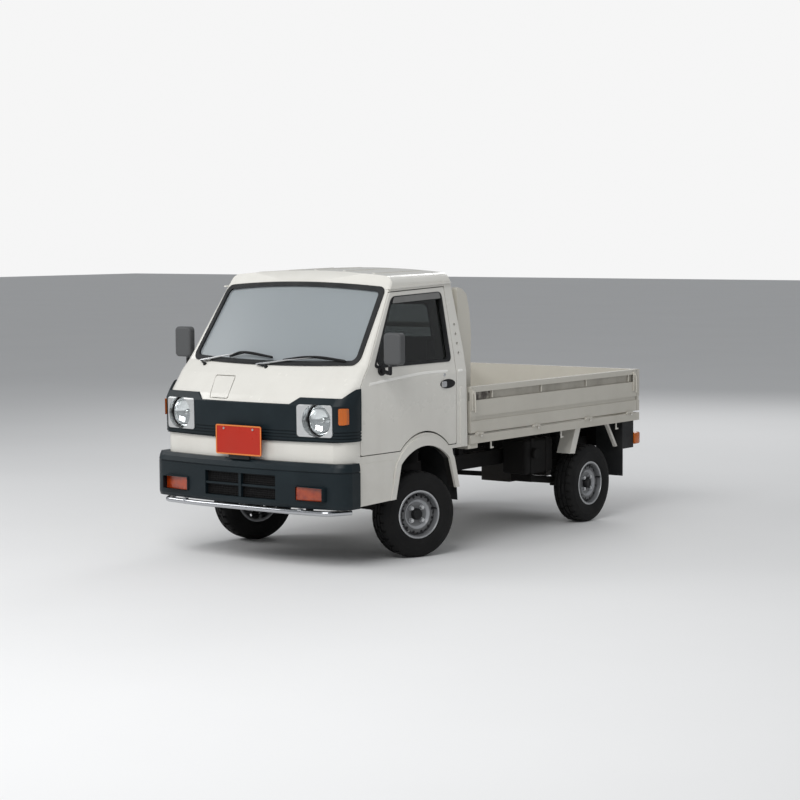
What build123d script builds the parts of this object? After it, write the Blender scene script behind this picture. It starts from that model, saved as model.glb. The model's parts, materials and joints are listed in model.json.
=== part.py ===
from build123d import *
import os
from functools import lru_cache
from math import cos, sin, radians

# Small cab-over pickup truck, in millimetres.
# The origin is on the ground under the middle of the truck.
# +X is the truck's left side, -Y its front, +Z up.

# Overall sizes
LENGTH = 3195.0
BODY_WIDTH = 1384.0
BED_WIDTH = 1395.0
FRONT_END = -LENGTH / 2
REAR_END = LENGTH / 2

# Axles, wheels and steering
FRONT_AXLE_Y = -776.0
REAR_AXLE_Y = 1013.0
TYRE_RADIUS = 245.0
TYRE_WIDTH = 145.0
TYRE_SHOULDER = 26.0
RIM_RADIUS = 137.0
RIM_BARREL = 121.0
RIM_WALL = 6.0
TRACK_HALF = 605.0
KINGPIN_OFFSET = 30.0
PARKED_STEER = -20.0
SPINDLE_RADIUS = 14.0
RUNNING_GAP = 0.3
NUT_CIRCLE = 50.0
VENT_COUNT = 12

# Cab shell: flank at the belt, sheet pack thickness, belt line that rises rearwards
CAB_HALF = BODY_WIDTH / 2
CAB_WALL = 42.0
CAB_FRONT = -1540.0
CAB_REAR = -384.0
BELT_FRONT_Y = -1373.0
BELT_RISE = 0.0365
SILL_Z = 352.0
RAIL_Z = 1503.0
ROOF_Z = 1628.0
PANEL_GAP = 5.0
SEAM = 0.5

# Door and its window, in the side view
DOOR_REAR_Y = -475.0
DOOR_FRONT_Y = -1322.0
DOOR_BOTTOM_Z = 618.0
DOOR_HINGE_X = 660.0
DOOR_HINGE_Y = DOOR_FRONT_Y - 18.0
GLASS = 5.0

# Front wheel arch, in the side view
ARCH_FRONT_Y = -1046.0
ARCH_REAR_Y = -484.0
ARCH_TOP_Z = 634.0
FLARE = 52.0

# Load bed
BED_HALF = BED_WIDTH / 2
BED_FRONT_Y = -350.0
DECK_Z = 665.0
DECK_THICK = 22.0
RAIL_BOTTOM_Z = 607.0
GATE_TOP_Z = 938.0
GATE_THICK = 30.0
GATE_GAP = 6.0

# Frame
FRAME_HALF = 330.0
FRAME_WIDTH = 60.0
FRAME_HEIGHT = 90.0
FRAME_Z = 400.0


def box(x0, x1, y0, y1, z0, z1):
    """A block between two corners."""
    return Pos((x0 + x1) / 2, (y0 + y1) / 2, (z0 + z1) / 2) * Box(abs(x1 - x0), abs(y1 - y0), abs(z1 - z0))


def rod(start, end, radius):
    """A round bar from one point to another."""
    a = Vector(*start)
    b = Vector(*end)
    run = b - a
    bar = Cylinder(radius, run.length, align=(Align.CENTER, Align.CENTER, Align.MIN))
    return Plane(origin=a, z_dir=run) * bar


def side_plate(points, x0, x1, radius=0.0):
    """A plate between x0 and x1 whose outline is given as (y, z) points."""
    path = [(y, z) for y, z in points]
    line = FilletPolyline(*path, radius=radius, close=True) if radius else Polyline(*path, close=True)
    face = Plane.YZ * make_face(line)
    return Pos(x0, 0, 0) * extrude(face, x1 - x0, dir=(1, 0, 0))


def front_plate(points, y0, y1, radius=0.0):
    """A plate between y0 and y1 whose outline is given as (x, z) points."""
    line = FilletPolyline(*points, radius=radius, close=True) if radius else Polyline(*points, close=True)
    face = Plane.XZ * make_face(line)
    return Pos(0, y0, 0) * extrude(face, y1 - y0, dir=(0, 1, 0))


def mirrored(shape):
    """The same piece on the truck's other side."""
    return mirror(shape, about=Plane.YZ)


def pair(shape):
    """A piece and its twin on the other side."""
    return [shape, mirrored(shape)]


def tilt_z(z, y):
    """Height of a belt-parallel line that passes z above the door's front corner."""
    return z + BELT_RISE * (y - BELT_FRONT_Y)


# Cab sections, from the sill up. Columns: height at the door's front corner,
# set-back of the nose at the middle, inset and set-back of the shoulder where the corner bend
# starts, inset and set-back where it meets the flank, inset and set-back of the rear corner
CAB_SECTIONS = (
    (300.0, 12.0, 102.0, 56.0, 31.0, 183.0, 3.0, 16.0),
    (590.0, 5.0, 102.0, 50.0, 29.0, 183.0, 1.0, 12.0),
    (905.0, 0.0, 102.0, 46.0, 28.0, 185.0, 0.0, 2.0),
    (945.0, 32.0, 99.0, 80.0, 28.0, 187.0, 0.0, 0.0),
    (997.0, 86.0, 94.0, 134.0, 28.0, 215.0, 0.0, 0.0),
    (1045.0, 136.0, 78.0, 186.0, 31.0, 236.0, 9.0, 1.0),
    (1107.0, 203.0, 76.0, 262.0, 36.0, 290.0, 20.5, 2.0),
    (1503.0, 488.0, 112.0, 546.0, 94.0, 563.0, 94.0, -22.0),
    (1640.0, 584.0, 134.0, 642.0, 119.5, 660.0, 119.5, -30.0),
)
CORNER_BULGE = 0.16


def cab_outline(section, inset):
    """One closed section of the cab, parallel to the belt line."""
    height, nose, in_shoulder, back_shoulder, in_side, back_side, in_rear, back_rear = section
    nose_y = CAB_FRONT + nose + inset
    shoulder = (CAB_HALF - in_shoulder - inset * 0.7, CAB_FRONT + back_shoulder + inset)
    flank = (CAB_HALF - in_side - inset, CAB_FRONT + back_side + inset * 0.7)
    rear = (CAB_HALF - in_rear - inset, CAB_REAR + back_rear - inset)

    def at(x, y):
        return (x, y, tilt_z(height, y))

    chord = (flank[0] - shoulder[0], flank[1] - shoulder[1])
    bend = ((flank[0] + shoulder[0]) / 2 + CORNER_BULGE * chord[1],
            (flank[1] + shoulder[1]) / 2 - CORNER_BULGE * chord[0])
    edges = [
        ThreePointArc(at(-shoulder[0], shoulder[1]), at(0, nose_y), at(*shoulder)),
        ThreePointArc(at(*shoulder), at(*bend), at(*flank)),
        Line(at(*flank), at(*rear)),
        Line(at(*rear), at(-rear[0], rear[1])),
        Line(at(-rear[0], rear[1]), at(-flank[0], flank[1])),
        ThreePointArc(at(-flank[0], flank[1]), at(-bend[0], bend[1]), at(-shoulder[0], shoulder[1])),
    ]
    return make_face(edges)


@lru_cache(maxsize=None)
def cab_body(inset=0.0):
    """The cab's solid form, drawn in by an inset."""
    return loft([cab_outline(section, inset) for section in CAB_SECTIONS], ruled=True)



OUTER = cab_body()
INNER = cab_body(CAB_WALL)
SHELL = OUTER - INNER


def below_rail(gap=SEAM):
    """Everything under the roof seam, which runs parallel to the belt line."""
    reach = 900.0
    low = 0.0
    points = [(-1800, low), (0, low), (0, tilt_z(RAIL_Z, 0) - gap), (-1800, tilt_z(RAIL_Z, -1800) - gap)]
    return side_plate(points, -reach, reach)


# Door outline in the side view, (y, z): up the front seam, along the pillar, down the rear seam
DOOR_TOP_DROP = 12.0
PILLAR_SLOPE = 0.681


def door_outline(gap=0.0):
    """The door opening, or with a gap the door itself."""
    front = DOOR_FRONT_Y - 26.0 + gap
    rear = DOOR_REAR_Y - gap
    top = RAIL_Z - DOOR_TOP_DROP - gap
    low = DOOR_BOTTOM_Z + gap
    return [
        (front, low), (front, 985.0), (front + 35.0, 1045.0), (front + 88.0, 1107.0),
        (front + 88.0 + (top - 1107.0) * PILLAR_SLOPE, tilt_z(top, -1000.0)),
        (rear, tilt_z(top, rear)), (rear, low),
    ]


def door_prism(gap=0.0):
    """The door outline carried across the whole flank on the left, the flare cut out of it."""
    plate = side_plate(door_outline(gap), 300.0, 800.0, radius=14.0)
    return plate - arch_plate(FLARE + gap * 1.4, 290.0, 810.0)


def arch_plate(grow, x0, x1):
    """The wheel arch opening in the side view, drawn outwards by an amount."""
    low = 100.0
    front = ARCH_FRONT_Y - grow
    rear = ARCH_REAR_Y + grow
    spring_z = 545.0
    top = ARCH_TOP_Z + grow * 1.4
    inset = 50.0
    edges = [
        Line((front, low), (front, 345.0)),
        Line((front, 345.0), (front + inset, spring_z)),
        ThreePointArc((front + inset, spring_z), ((front + rear) / 2 - 6.0, top),
                      (rear - inset - 14.0, spring_z)),
        Line((rear - inset - 14.0, spring_z), (rear, 345.0)),
        Line((rear, 345.0), (rear, low)),
        Line((rear, low), (front, low)),
    ]
    return Pos(x0, 0, 0) * extrude(Plane.YZ * make_face(edges), x1 - x0, dir=(1, 0, 0))


WINDOW_SILL_Z = 1100.0
WINDOW_TOP_Z = 1470.0
WINDOW_FRONT_Y = -1209.0
WINDOW_REAR_Y = -520.0
WINDOW_LEAN = 0.61
WINDOW_RADIUS = 34.0


def side_window(grow, x0=300.0, x1=800.0):
    """The door's window opening in the side view, drawn outwards by an amount."""
    lean = WINDOW_LEAN
    top = WINDOW_TOP_Z + grow
    low = WINDOW_SILL_Z - grow
    points = [
        (WINDOW_FRONT_Y - grow * 1.2, low), (WINDOW_FRONT_Y - grow * 1.2 + lean * (top - low), top),
        (WINDOW_REAR_Y + grow, tilt_z(top, WINDOW_REAR_Y) - tilt_z(0.0, -980.0)),
        (WINDOW_REAR_Y + grow, low + 4.0),
    ]
    return side_plate(points, x0, x1, radius=WINDOW_RADIUS + grow * 0.5)


# Windscreen in the front view: seal's outer line
SCREEN_LOW_X = 606.0
SCREEN_LOW_Z = 1112.0
SCREEN_LOW_MID_Z = 1099.0
SCREEN_TOP_X = 576.0
SCREEN_TOP_Z = 1530.0
SCREEN_TOP_MID_Z = 1556.0
SEAL_WIDTH = 28.0
SEAL_LAP = 10.0
SEAL_PROUD = 8.0


def screen_plate(shrink, y0=-1700.0, y1=-850.0):
    """The windscreen outline in the front view, drawn in by an amount."""
    low_x = SCREEN_LOW_X - shrink
    top_x = SCREEN_TOP_X - shrink
    low = shrink * 0.84
    a = (low_x, SCREEN_LOW_Z + low)
    b = (top_x, SCREEN_TOP_Z - low)
    edges = [
        ThreePointArc((-a[0], a[1]), (0, SCREEN_LOW_MID_Z + low), a),
        Line(a, b),
        ThreePointArc(b, (0, SCREEN_TOP_MID_Z - low), (-b[0], b[1])),
        Line((-b[0], b[1]), (-a[0], a[1])),
    ]
    face = make_face(edges)
    face = fillet(face.vertices(), 46.0 - shrink * 0.6)
    return Pos(0, y0, 0) * extrude(Plane.XZ * face, y1 - y0, dir=(0, 1, 0))



FLANK_DEPTH = 76.0


def flank_zone():
    """The left flank seen from the front: where side panel and door have their thickness."""
    low = CAB_HALF - FLANK_DEPTH
    top = CAB_HALF - 94.0 - FLANK_DEPTH + 6.0
    points = [(low, 200), (low, 1000), (low - 18.0, 1107), (top, 1515), (top - 28.0, 1660), (820, 1660),
              (820, 200)]
    return front_plate(points, -1800.0, 0.0)


SIDE_REAR_BOTTOM_Z = 598.0
ARCH_LEG = 28.0


def side_outline():
    """Left side panel with its door opening still closed, in the side view."""
    door = door_outline(0.0)
    front = door[0][0]
    slope_end = (door[4][0] + PILLAR_SLOPE * 80.0, door[4][1] + 80.0)
    return [
        (front, SILL_Z - 6.0), (front, door[1][1]), door[2], door[3], slope_end,
        (-250.0, slope_end[1] + 20.0), (-250.0, SIDE_REAR_BOTTOM_Z), (ARCH_REAR_Y - 34.0, SIDE_REAR_BOTTOM_Z),
        (ARCH_REAR_Y + ARCH_LEG, SILL_Z + 18.0), (-900.0, SILL_Z + 18.0), (ARCH_FRONT_Y, SILL_Z + 4.0),
    ]


def skin(outset, inset, zone):
    """The layer of the cab's surface between two depths, within a zone."""
    return (cab_body(-outset) & zone) - (cab_body(inset) & zone)


VENT_Y = -430.0
VENT_Z = (1140.0, 1194.0, 1248.0, 1302.0)
VENT_HOLE = 9.0
PILLAR_BAND_Y = (-446.0, -402.0)
PILLAR_BAND_TOP = 949.0
FLARE_PROUD = 8.0
LOWER_STEP_Z = 578.0
LOWER_STEP = 3.0


def cab_side():
    """Left side panel: front lower panel, arch flare, sill and door pillar."""
    zone = flank_zone() & side_plate(side_outline(), 400.0, 800.0)
    panel = (SHELL & zone & below_rail()) - side_plate(door_outline(0.0), 300.0, 800.0)
    sill = SHELL & zone & (arch_plate(FLARE, 400.0, 800.0) & box(400, 800, -1200, -440, 300, 760))
    panel = (panel + sill) - arch_plate(0.0, 400.0, 800.0)
    lip_zone = (arch_plate(FLARE - 10.0, 600.0, 760.0) - arch_plate(0.0, 590.0, 770.0)) & zone
    panel += skin(FLARE_PROUD, 4.0, lip_zone)
    step_zone = zone & box(400, 800, DOOR_FRONT_Y - 26.0, ARCH_FRONT_Y - 20.0, SILL_Z - 10.0, LOWER_STEP_Z)
    panel += skin(LOWER_STEP, 4.0, step_zone - arch_plate(FLARE - 11.0, 590.0, 800.0))
    low, high = PILLAR_BAND_Y
    band = side_plate([(low, 603.0), (high, 603.0), (high, PILLAR_BAND_TOP), (low, PILLAR_BAND_TOP)],
                      600.0, 760.0, radius=16.0)
    panel += skin(5.0, 4.0, band)
    for z in VENT_Z:
        panel -= rod((500, VENT_Y, z), (800, VENT_Y, z), VENT_HOLE)
    return max(panel.solids(), key=lambda solid: solid.volume)


REAR_SPLIT = 64.0
REAR_WINDOW_HALF = 500.0
REAR_WINDOW_Z = (1085.0, 1430.0)


def cab_rear():
    """Rear wall with its window opening."""
    middle = box(-800, 800, CAB_REAR - REAR_SPLIT, CAB_REAR + 60.0, SIDE_REAR_BOTTOM_Z, 1700)
    wall = SHELL & middle & below_rail()
    flank = flank_zone()
    wall = wall - flank - mirrored(flank)
    low, high = REAR_WINDOW_Z
    half = REAR_WINDOW_HALF
    hole = front_plate([(-half, low), (half, low), (half - 40.0, high), (-half + 40.0, high)], -700.0, 0.0,
                       radius=45.0)
    return wall - hole


def cab_front():
    """Nose panel with both windscreen pillars."""
    nose = SHELL & below_rail()
    flank = flank_zone() & side_plate(side_outline(), 300.0, 900.0)
    nose = nose - flank - mirrored(flank)
    nose -= box(-800, 800, -900.0, 0, 0, 1700)
    nose -= screen_plate(SEAL_LAP)
    nose -= box(-800, 800, -1800, 0, 0, SILL_Z)
    nose -= box(-800, 800, DOOR_FRONT_Y - 26.0, 0, 0, DOOR_BOTTOM_Z + 20.0)
    for lamp in lamp_pair():
        nose -= lamp
    return nose


CROWN_SIDE_Z = 1535.0
ROOF_SKIN = 26.0
ROOF_TILT = 0.018
ROOF_NOSE_Y = -1040.0


def crown(drop=0.0, inset=0.0):
    """Everything under the roof's crown line, a front view carried rearwards."""
    top = ROOF_Z - 12.0 - drop
    edge = top - 25.0
    side = 600.0 - inset
    edges = [
        Line((-side, 1400), (side, 1400)),
        Line((side, 1400), (side - 3.0, CROWN_SIDE_Z - drop)),
        ThreePointArc((side - 3.0, CROWN_SIDE_Z - drop), (side - 20.0, edge - 22.0), (side - 68.0, edge)),
        ThreePointArc((side - 68.0, edge), (0, top), (68.0 - side, edge)),
        ThreePointArc((68.0 - side, edge), (20.0 - side, edge - 22.0), (3.0 - side, CROWN_SIDE_Z - drop)),
        Line((3.0 - side, CROWN_SIDE_Z - drop), (-side, 1400)),
    ]
    start = -1300.0
    face = Pos(0, start, ROOF_TILT * (start - ROOF_NOSE_Y)) * (Plane.XZ * make_face(edges))
    return extrude(face, 1200.0, dir=(0, 1.0, ROOF_TILT))


DRIP_RAIL = 12.0
ROOF_RIB_X = (-420.0, -210.0, 0.0, 210.0, 420.0)
ROOF_RIB_Y = (-900.0, -480.0)
ROOF_RIB_WIDTH = 20.0
ROOF_RIB_RISE = 3.0


def roof_profile():
    """Side view that rounds the roof's front and rear edges, as wide as the cab."""
    front = ThreePointArc((-1026.0, 1552.0), (-972.0, 1598.0), (-860.0, 1638.0))
    rear = ThreePointArc((-455.0, 1642.0), (-415.0, 1617.0), (-402.0, 1580.0))
    edges = [front, Line((-860.0, 1638.0), (-455.0, 1642.0)), rear,
             Line((-402.0, 1580.0), (-350.0, 1450.0)), Line((-350.0, 1450.0), (-1120.0, 1450.0)),
             Line((-1120.0, 1450.0), (-1026.0, 1552.0))]
    return extrude(Pos(-800.0, 0, 0) * (Plane.YZ * make_face(edges)), 1600.0)


def cab_roof():
    """Roof pressing with its header over the windscreen and the drip rails."""
    above = OUTER - below_rail(-SEAM)
    dome = above & crown() & roof_profile()
    hollow = (INNER & crown(ROOF_SKIN, CAB_WALL))
    roof = dome - hollow - screen_plate(SEAL_LAP)
    layer = crown(-ROOF_RIB_RISE) - crown(ROOF_SKIN / 3)
    for x in ROOF_RIB_X:
        roof += layer & box(x - ROOF_RIB_WIDTH / 2, x + ROOF_RIB_WIDTH / 2, *ROOF_RIB_Y, 1500.0, 1700.0)
    for side in (-1, 1):
        edge = 600.0 * side
        path = [(-1000.0, tilt_z(RAIL_Z + 1.0, -1000.0)), (-418.0, tilt_z(RAIL_Z + 1.0, -418.0)),
                (-418.0, tilt_z(RAIL_Z + 9.0, -418.0)), (-1000.0, tilt_z(RAIL_Z + 9.0, -1000.0))]
        roof += side_plate(path, edge - 8.0 * side, edge + DRIP_RAIL * side)
    return roof


GLASS_INSET = 6.0


def windscreen():
    """Curved laminated glass inside the seal."""
    zone = screen_plate(SEAL_WIDTH + RUNNING_GAP)
    return (cab_body(GLASS_INSET) & zone) - (cab_body(GLASS_INSET + GLASS) & zone)


def windscreen_seal():
    """Rubber seal: a proud lip over the body and a stem that fills the opening's edge."""
    lip = skin(SEAL_PROUD, -0.4, screen_plate(0.0) - screen_plate(SEAL_LAP + 2.0))
    stem = skin(SEAL_PROUD, 16.0, screen_plate(SEAL_LAP + 0.5) - screen_plate(SEAL_WIDTH))
    panel = flank_zone() & side_plate(side_outline(), 300.0, 900.0)
    return lip + (stem - panel - mirrored(panel))


def rear_window():
    """Flat pane of the rear wall."""
    low, high = REAR_WINDOW_Z
    half = REAR_WINDOW_HALF - 17.0
    mid = CAB_REAR - 22.0
    pane = front_plate([(-half, low + 17.0), (half, low + 17.0), (half - 40.0, high - 17.0),
                        (40.0 - half, high - 17.0)],
                       0.0, GLASS, radius=36.0)
    lean = 0.067
    return Pos(0, mid, 0) * shear_back(pane, lean, low)


def shear_back(shape, lean, base_z):
    """Tips a thin upright pane forward about its lower edge."""
    return Pos(0, 0, base_z) * (Rot(lean * 57.3, 0, 0) * (Pos(0, 0, -base_z) * shape))


def rear_window_seal():
    """Rubber frame of the rear pane."""
    low, high = REAR_WINDOW_Z
    half = REAR_WINDOW_HALF - 1.5
    low += 1.5
    high -= 1.5

    def outline(shrink):
        return [(-half + shrink, low + shrink), (half - shrink, low + shrink),
                (half - 40.0 - shrink, high - shrink), (40.0 - half + shrink, high - shrink)]

    ring = front_plate(outline(0.0), 0.0, 22.0, radius=44.0) - front_plate(outline(14.0), -5.0, 27.0,
                                                                           radius=36.0)
    return Pos(0, CAB_REAR - 30.0, 0) * shear_back(ring, 0.067, REAR_WINDOW_Z[0])


# Garnish across the nose in the front view, left half from the bottom corner up
GARNISH_BOTTOM_Z = 697.0
GARNISH_MID_TOP_Z = 904.0
GARNISH_LAMP_TOP_Z = 941.0
GARNISH_TIP_Z = 987.0
GARNISH_PROUD = 13.0
GARNISH_REAR_Y = DOOR_FRONT_Y - 29.0
GARNISH_RIB_Z = (704.0, 721.0, 738.0, 755.0)
GARNISH_GROOVE = 6.0

# Headlamps: square bezel and round lens
LAMP_X = 498.0
LAMP_Z = 820.0
LAMP_HALF = 84.0
LAMP_RING = 6.0
LAMP_CUP = 5.0
LAMP_SQUARE_X = (374.0, 598.0)
LAMP_SQUARE_Z = (731.0, 906.0)
LENS_DEPTH_Y = -1472.0
LAMP_WELL_Y = -1412.0
MARKER_X = (632.0, 663.0)
MARKER_Z = (800.0, 890.0)


def lamp_square(grow=0.0, x=LAMP_SQUARE_X, z=LAMP_SQUARE_Z, radius=18.0):
    """A rounded rectangle in the front view, carried through the nose, on the left."""
    points = [(x[0] - grow, z[0] - grow), (x[1] + grow, z[0] - grow), (x[1] + grow, z[1] + grow),
              (x[0] - grow, z[1] + grow)]
    return front_plate(points, -1650.0, -1400.0, radius=radius)


def lamp_bore(radius, y0=-1650.0, y1=-1400.0):
    """The round hole of the left headlamp."""
    return rod((LAMP_X, y0, LAMP_Z), (LAMP_X, y1, LAMP_Z), radius)


def lamp_pair():
    """Both headlamp pockets in the nose panel."""
    return pair(lamp_bore(LAMP_HALF + LAMP_RING + LAMP_CUP + 0.5, -1700.0, LAMP_WELL_Y))


def front_garnish():
    """Dark grille panel that wraps the nose from door seam to door seam."""
    half = [(0, GARNISH_BOTTOM_Z), (720, GARNISH_BOTTOM_Z + 8.0), (720, GARNISH_TIP_Z + 18.0),
            (664, GARNISH_TIP_Z), (628, GARNISH_LAMP_TOP_Z), (370, GARNISH_LAMP_TOP_Z),
            (320, GARNISH_MID_TOP_Z), (0, GARNISH_MID_TOP_Z)]
    zone = front_plate(half, -1700.0, GARNISH_REAR_Y)
    zone = zone + mirrored(zone)
    panel = skin(GARNISH_PROUD, -0.5, zone)
    for z in GARNISH_RIB_Z:
        line = box(-800, 800, -1700, GARNISH_REAR_Y + 1.0, z, z + GARNISH_GROOVE)
        panel -= skin(GARNISH_PROUD + 2.0, -8.0, line)
    for hole in pair(lamp_square(0.5)) + pair(lamp_square(0.5, MARKER_X, MARKER_Z, 8.0)):
        panel -= hole
    return panel


def headlamp_bezels():
    """Silver square bezels, each with the bowl that carries its lens."""
    plate = skin(GARNISH_PROUD + 2.0, -0.5, lamp_square())
    neck = skin(GARNISH_PROUD + 2.0, 4.0, lamp_square() & lamp_bore(LAMP_HALF + LAMP_RING + LAMP_CUP))
    bowl = lamp_bore(LAMP_HALF + LAMP_RING + LAMP_CUP, -1560.0, LAMP_WELL_Y - 4.0) & cab_body(1.0)
    return pair((plate + neck + bowl) - lamp_bore(LAMP_HALF + LAMP_RING, -1600.0, LAMP_WELL_Y - 12.0))


def headlamp_lenses():
    """Round domed lenses."""
    dome_radius = 210.0
    centre = LENS_DEPTH_Y - 22.0 + dome_radius
    lens = lamp_bore(LAMP_HALF, -1600.0, LENS_DEPTH_Y) & (Pos(LAMP_X, centre, LAMP_Z) * Sphere(dome_radius))
    return pair(lens)


def corner_lamps():
    """Side marker lenses in the garnish."""
    return pair(skin(GARNISH_PROUD + 8.0, -0.5, lamp_square(0.0, MARKER_X, MARKER_Z, 8.0)))


# Front bumper. Columns: height, how far the face stands back from its fullest line
BUMPER_SECTIONS = (
    (343.0, 9.0),
    (362.0, 0.0),
    (548.0, 0.0),
    (572.0, 8.0),
    (590.0, 22.0),
)
BUMPER_FRONT = -1590.0
BUMPER_HALF = 698.0
BUMPER_SHOULDER_X = 612.0
BUMPER_SHOULDER_BACK = 52.0
BUMPER_BEND_Y = -1462.0
BUMPER_END_Y = -1391.0
BUMPER_WALL = 26.0
INTAKE_HALF = 255.0
INTAKE_Z = (379.0, 513.0)
BUMPER_LAMP_X = (394.0, 580.0)
BUMPER_LAMP_Z = (388.0, 463.0)


def bumper_body(inset=0.0):
    """The bumper's solid form, drawn in by an inset."""
    faces = []
    for z, back in BUMPER_SECTIONS:
        step = inset + back
        low = z if z > BUMPER_SECTIONS[0][0] or inset <= 0 else z - 1.0
        shoulder = (BUMPER_SHOULDER_X - step * 0.6, BUMPER_FRONT + BUMPER_SHOULDER_BACK + step)
        flank = (BUMPER_HALF - inset - back * 0.3, BUMPER_BEND_Y)
        bend = ((shoulder[0] + flank[0]) / 2 + 12.0, (shoulder[1] + flank[1]) / 2 - 14.0)
        end = BUMPER_END_Y + (1.0 if inset > 0 else 0.0)
        faces.append(make_face([
            ThreePointArc((-shoulder[0], shoulder[1], low), (0, BUMPER_FRONT + step, low),
                          (shoulder[0], shoulder[1], low)),
            ThreePointArc((shoulder[0], shoulder[1], low), (bend[0], bend[1], low),
                          (flank[0], flank[1], low)),
            Line((flank[0], flank[1], low), (flank[0], end, low)),
            Line((flank[0], end, low), (-flank[0], end, low)),
            Line((-flank[0], end, low), (-flank[0], flank[1], low)),
            ThreePointArc((-flank[0], flank[1], low), (-bend[0], bend[1], low),
                          (-shoulder[0], shoulder[1], low)),
        ]))
    return loft(faces, ruled=True)


BUMPER_GROOVE_Z = (540.0, 546.0)


def front_bumper():
    """Moulded bumper with its intake grille and lamp pockets."""
    outer = bumper_body()
    cavity = bumper_body(BUMPER_WALL) & box(-800, 800, -1700, -1300, 300, BUMPER_SECTIONS[-1][0] - 24.0)
    shell = outer - cavity - cab_body(-2.0)
    low, high = INTAKE_Z
    shell -= box(-INTAKE_HALF, INTAKE_HALF, -1700, -1540, low, high)
    groove = box(-800, 800, -1700, -1300, *BUMPER_GROOVE_Z) & outer
    shell -= groove - bumper_body(5.0)
    for hole in pair(box(*BUMPER_LAMP_X, -1700, -1400, *BUMPER_LAMP_Z)):
        shell -= hole
    bars = box(-INTAKE_HALF - 4.0, INTAKE_HALF + 4.0, -1578.0, -1566.0, (low + high) / 2 - 6.0,
               (low + high) / 2 + 6.0)
    bars += box(-9.0, 9.0, -1582.0, -1564.0, low - 4.0, high + 4.0)
    return shell + bars


def bumper_lamps():
    """Orange lamps set into the bumper."""
    zone = box(BUMPER_LAMP_X[0] + 1.0, BUMPER_LAMP_X[1] - 1.0, -1700, -1400, BUMPER_LAMP_Z[0] + 1.0,
               BUMPER_LAMP_Z[1] - 1.0)
    return pair((bumper_body(-3.0) & zone) - (bumper_body(BUMPER_WALL + 6.0) & zone))


BAR_RADIUS = 15.0
BAR_Z = 322.0
BAR_FRONT_Y = FRONT_END + BAR_RADIUS
BAR_END = (650.0, -1412.0)


def bumper_bar():
    """Chromed tube under the bumper, on two stays."""
    knee = (575.0, BAR_FRONT_Y + 32.0)
    path = FilletPolyline((-BAR_END[0], BAR_END[1], BAR_Z), (-knee[0], knee[1], BAR_Z),
                          (-300.0, BAR_FRONT_Y, BAR_Z),
                          (300.0, BAR_FRONT_Y, BAR_Z), (knee[0], knee[1], BAR_Z), (BAR_END[0], BAR_END[1],
                                                                                   BAR_Z), radius=60.0)
    start = path @ 0
    tube = sweep(Plane(origin=start, z_dir=path % 0) * Circle(BAR_RADIUS), path=path)
    for x in (-420.0, 420.0):
        tube += box(x - 14.0, x + 14.0, BAR_FRONT_Y - 4.0, BAR_FRONT_Y + 22.0, BAR_Z + 8.0,
                    BUMPER_SECTIONS[0][0] - 0.3)
    return tube


# Number plates
PLATE_HALF = 165.0
PLATE_HEIGHT = 165.0
PLATE_Z = 612.0
PLATE_THICK = 3.0
PLATE_FACE_Y = -1588.0
REAR_PLATE_Z = 440.0


def number_plates():
    """Blank plate at the front, on a bracket that stands on the bumper, and one at the rear."""
    shape = [(-PLATE_HALF, PLATE_Z), (PLATE_HALF, PLATE_Z), (PLATE_HALF, PLATE_Z + PLATE_HEIGHT),
             (-PLATE_HALF, PLATE_Z + PLATE_HEIGHT)]
    front = front_plate(shape, PLATE_FACE_Y, PLATE_FACE_Y + PLATE_THICK, radius=12.0)
    front += box(-72.0, 72.0, PLATE_FACE_Y + PLATE_THICK, PLATE_FACE_Y + 14.0, BUMPER_SECTIONS[-1][0] + 0.3,
                 PLATE_Z + 70.0)
    lift = REAR_PLATE_Z - PLATE_Z
    rear_y = TAIL_BEAM_Y[1] + 0.3
    rear = front_plate([(x, z + lift) for x, z in shape], rear_y, rear_y + PLATE_THICK, radius=12.0)
    return [front, rear]


WIPER_PIVOTS = ((-454.0, -90.0), (7.0, 345.0))
WIPER_ARM_RADIUS = 4.5
BLADE_WIDTH = 9.0


def screen_point(x, z, proud):
    """A point over the windscreen, standing proud of its middle line's slope."""
    nose = CAB_FRONT + CAB_SECTIONS[6][1]
    top = CAB_FRONT + CAB_SECTIONS[7][1]
    low_z = tilt_z(CAB_SECTIONS[6][0], nose)
    top_z = tilt_z(CAB_SECTIONS[7][0], top)
    run = (z - low_z) / (top_z - low_z)
    bow = 52.0 * (x / 612.0) ** 2
    return (x, nose + (top - nose) * run + bow - proud * 0.83, z + proud * 0.56)


def wipers():
    """Two wiper arms with their blades, parked over the lower seal."""
    made = []
    for pivot_x, tip_x in WIPER_PIVOTS:
        base = screen_point(pivot_x, 1079.0, 1.0)
        head = screen_point(pivot_x, 1082.0, 20.0)
        elbow = screen_point((pivot_x + tip_x) / 2 - 10.0, 1136.0, 21.0)
        a = screen_point((pivot_x + tip_x) / 2 - 170.0, 1139.0, 21.0)
        b = screen_point((pivot_x + tip_x) / 2 + 185.0, 1131.0, 21.0)
        arm = rod(base, head, 9.0) + Pos(*head) * Sphere(9.5) + rod(head, elbow, WIPER_ARM_RADIUS)
        made.append((arm + rod(a, b, BLADE_WIDTH / 2) + Pos(*elbow) * Sphere(7.0)) - cab_body(-0.3))
    return made


# Cabin: floor pan, step over the front wheels and platform under the seats
FOOTWELL_Z = 505.0
PLATFORM_Z = 660.0
PAN = 15.0
RISER_Y = -1092.0
HOUSE_X = 392.0
CABIN_GAP = 2.0
SEAT_X = 315.0
SEAT_HALF = 245.0
SEAT_FRONT_Y = -1040.0
SEAT_REAR_Y = -580.0
CUSHION_Z = (PLATFORM_Z + 40.0, PLATFORM_Z + 150.0)
BACK_TOP_Z = 1245.0


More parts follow.
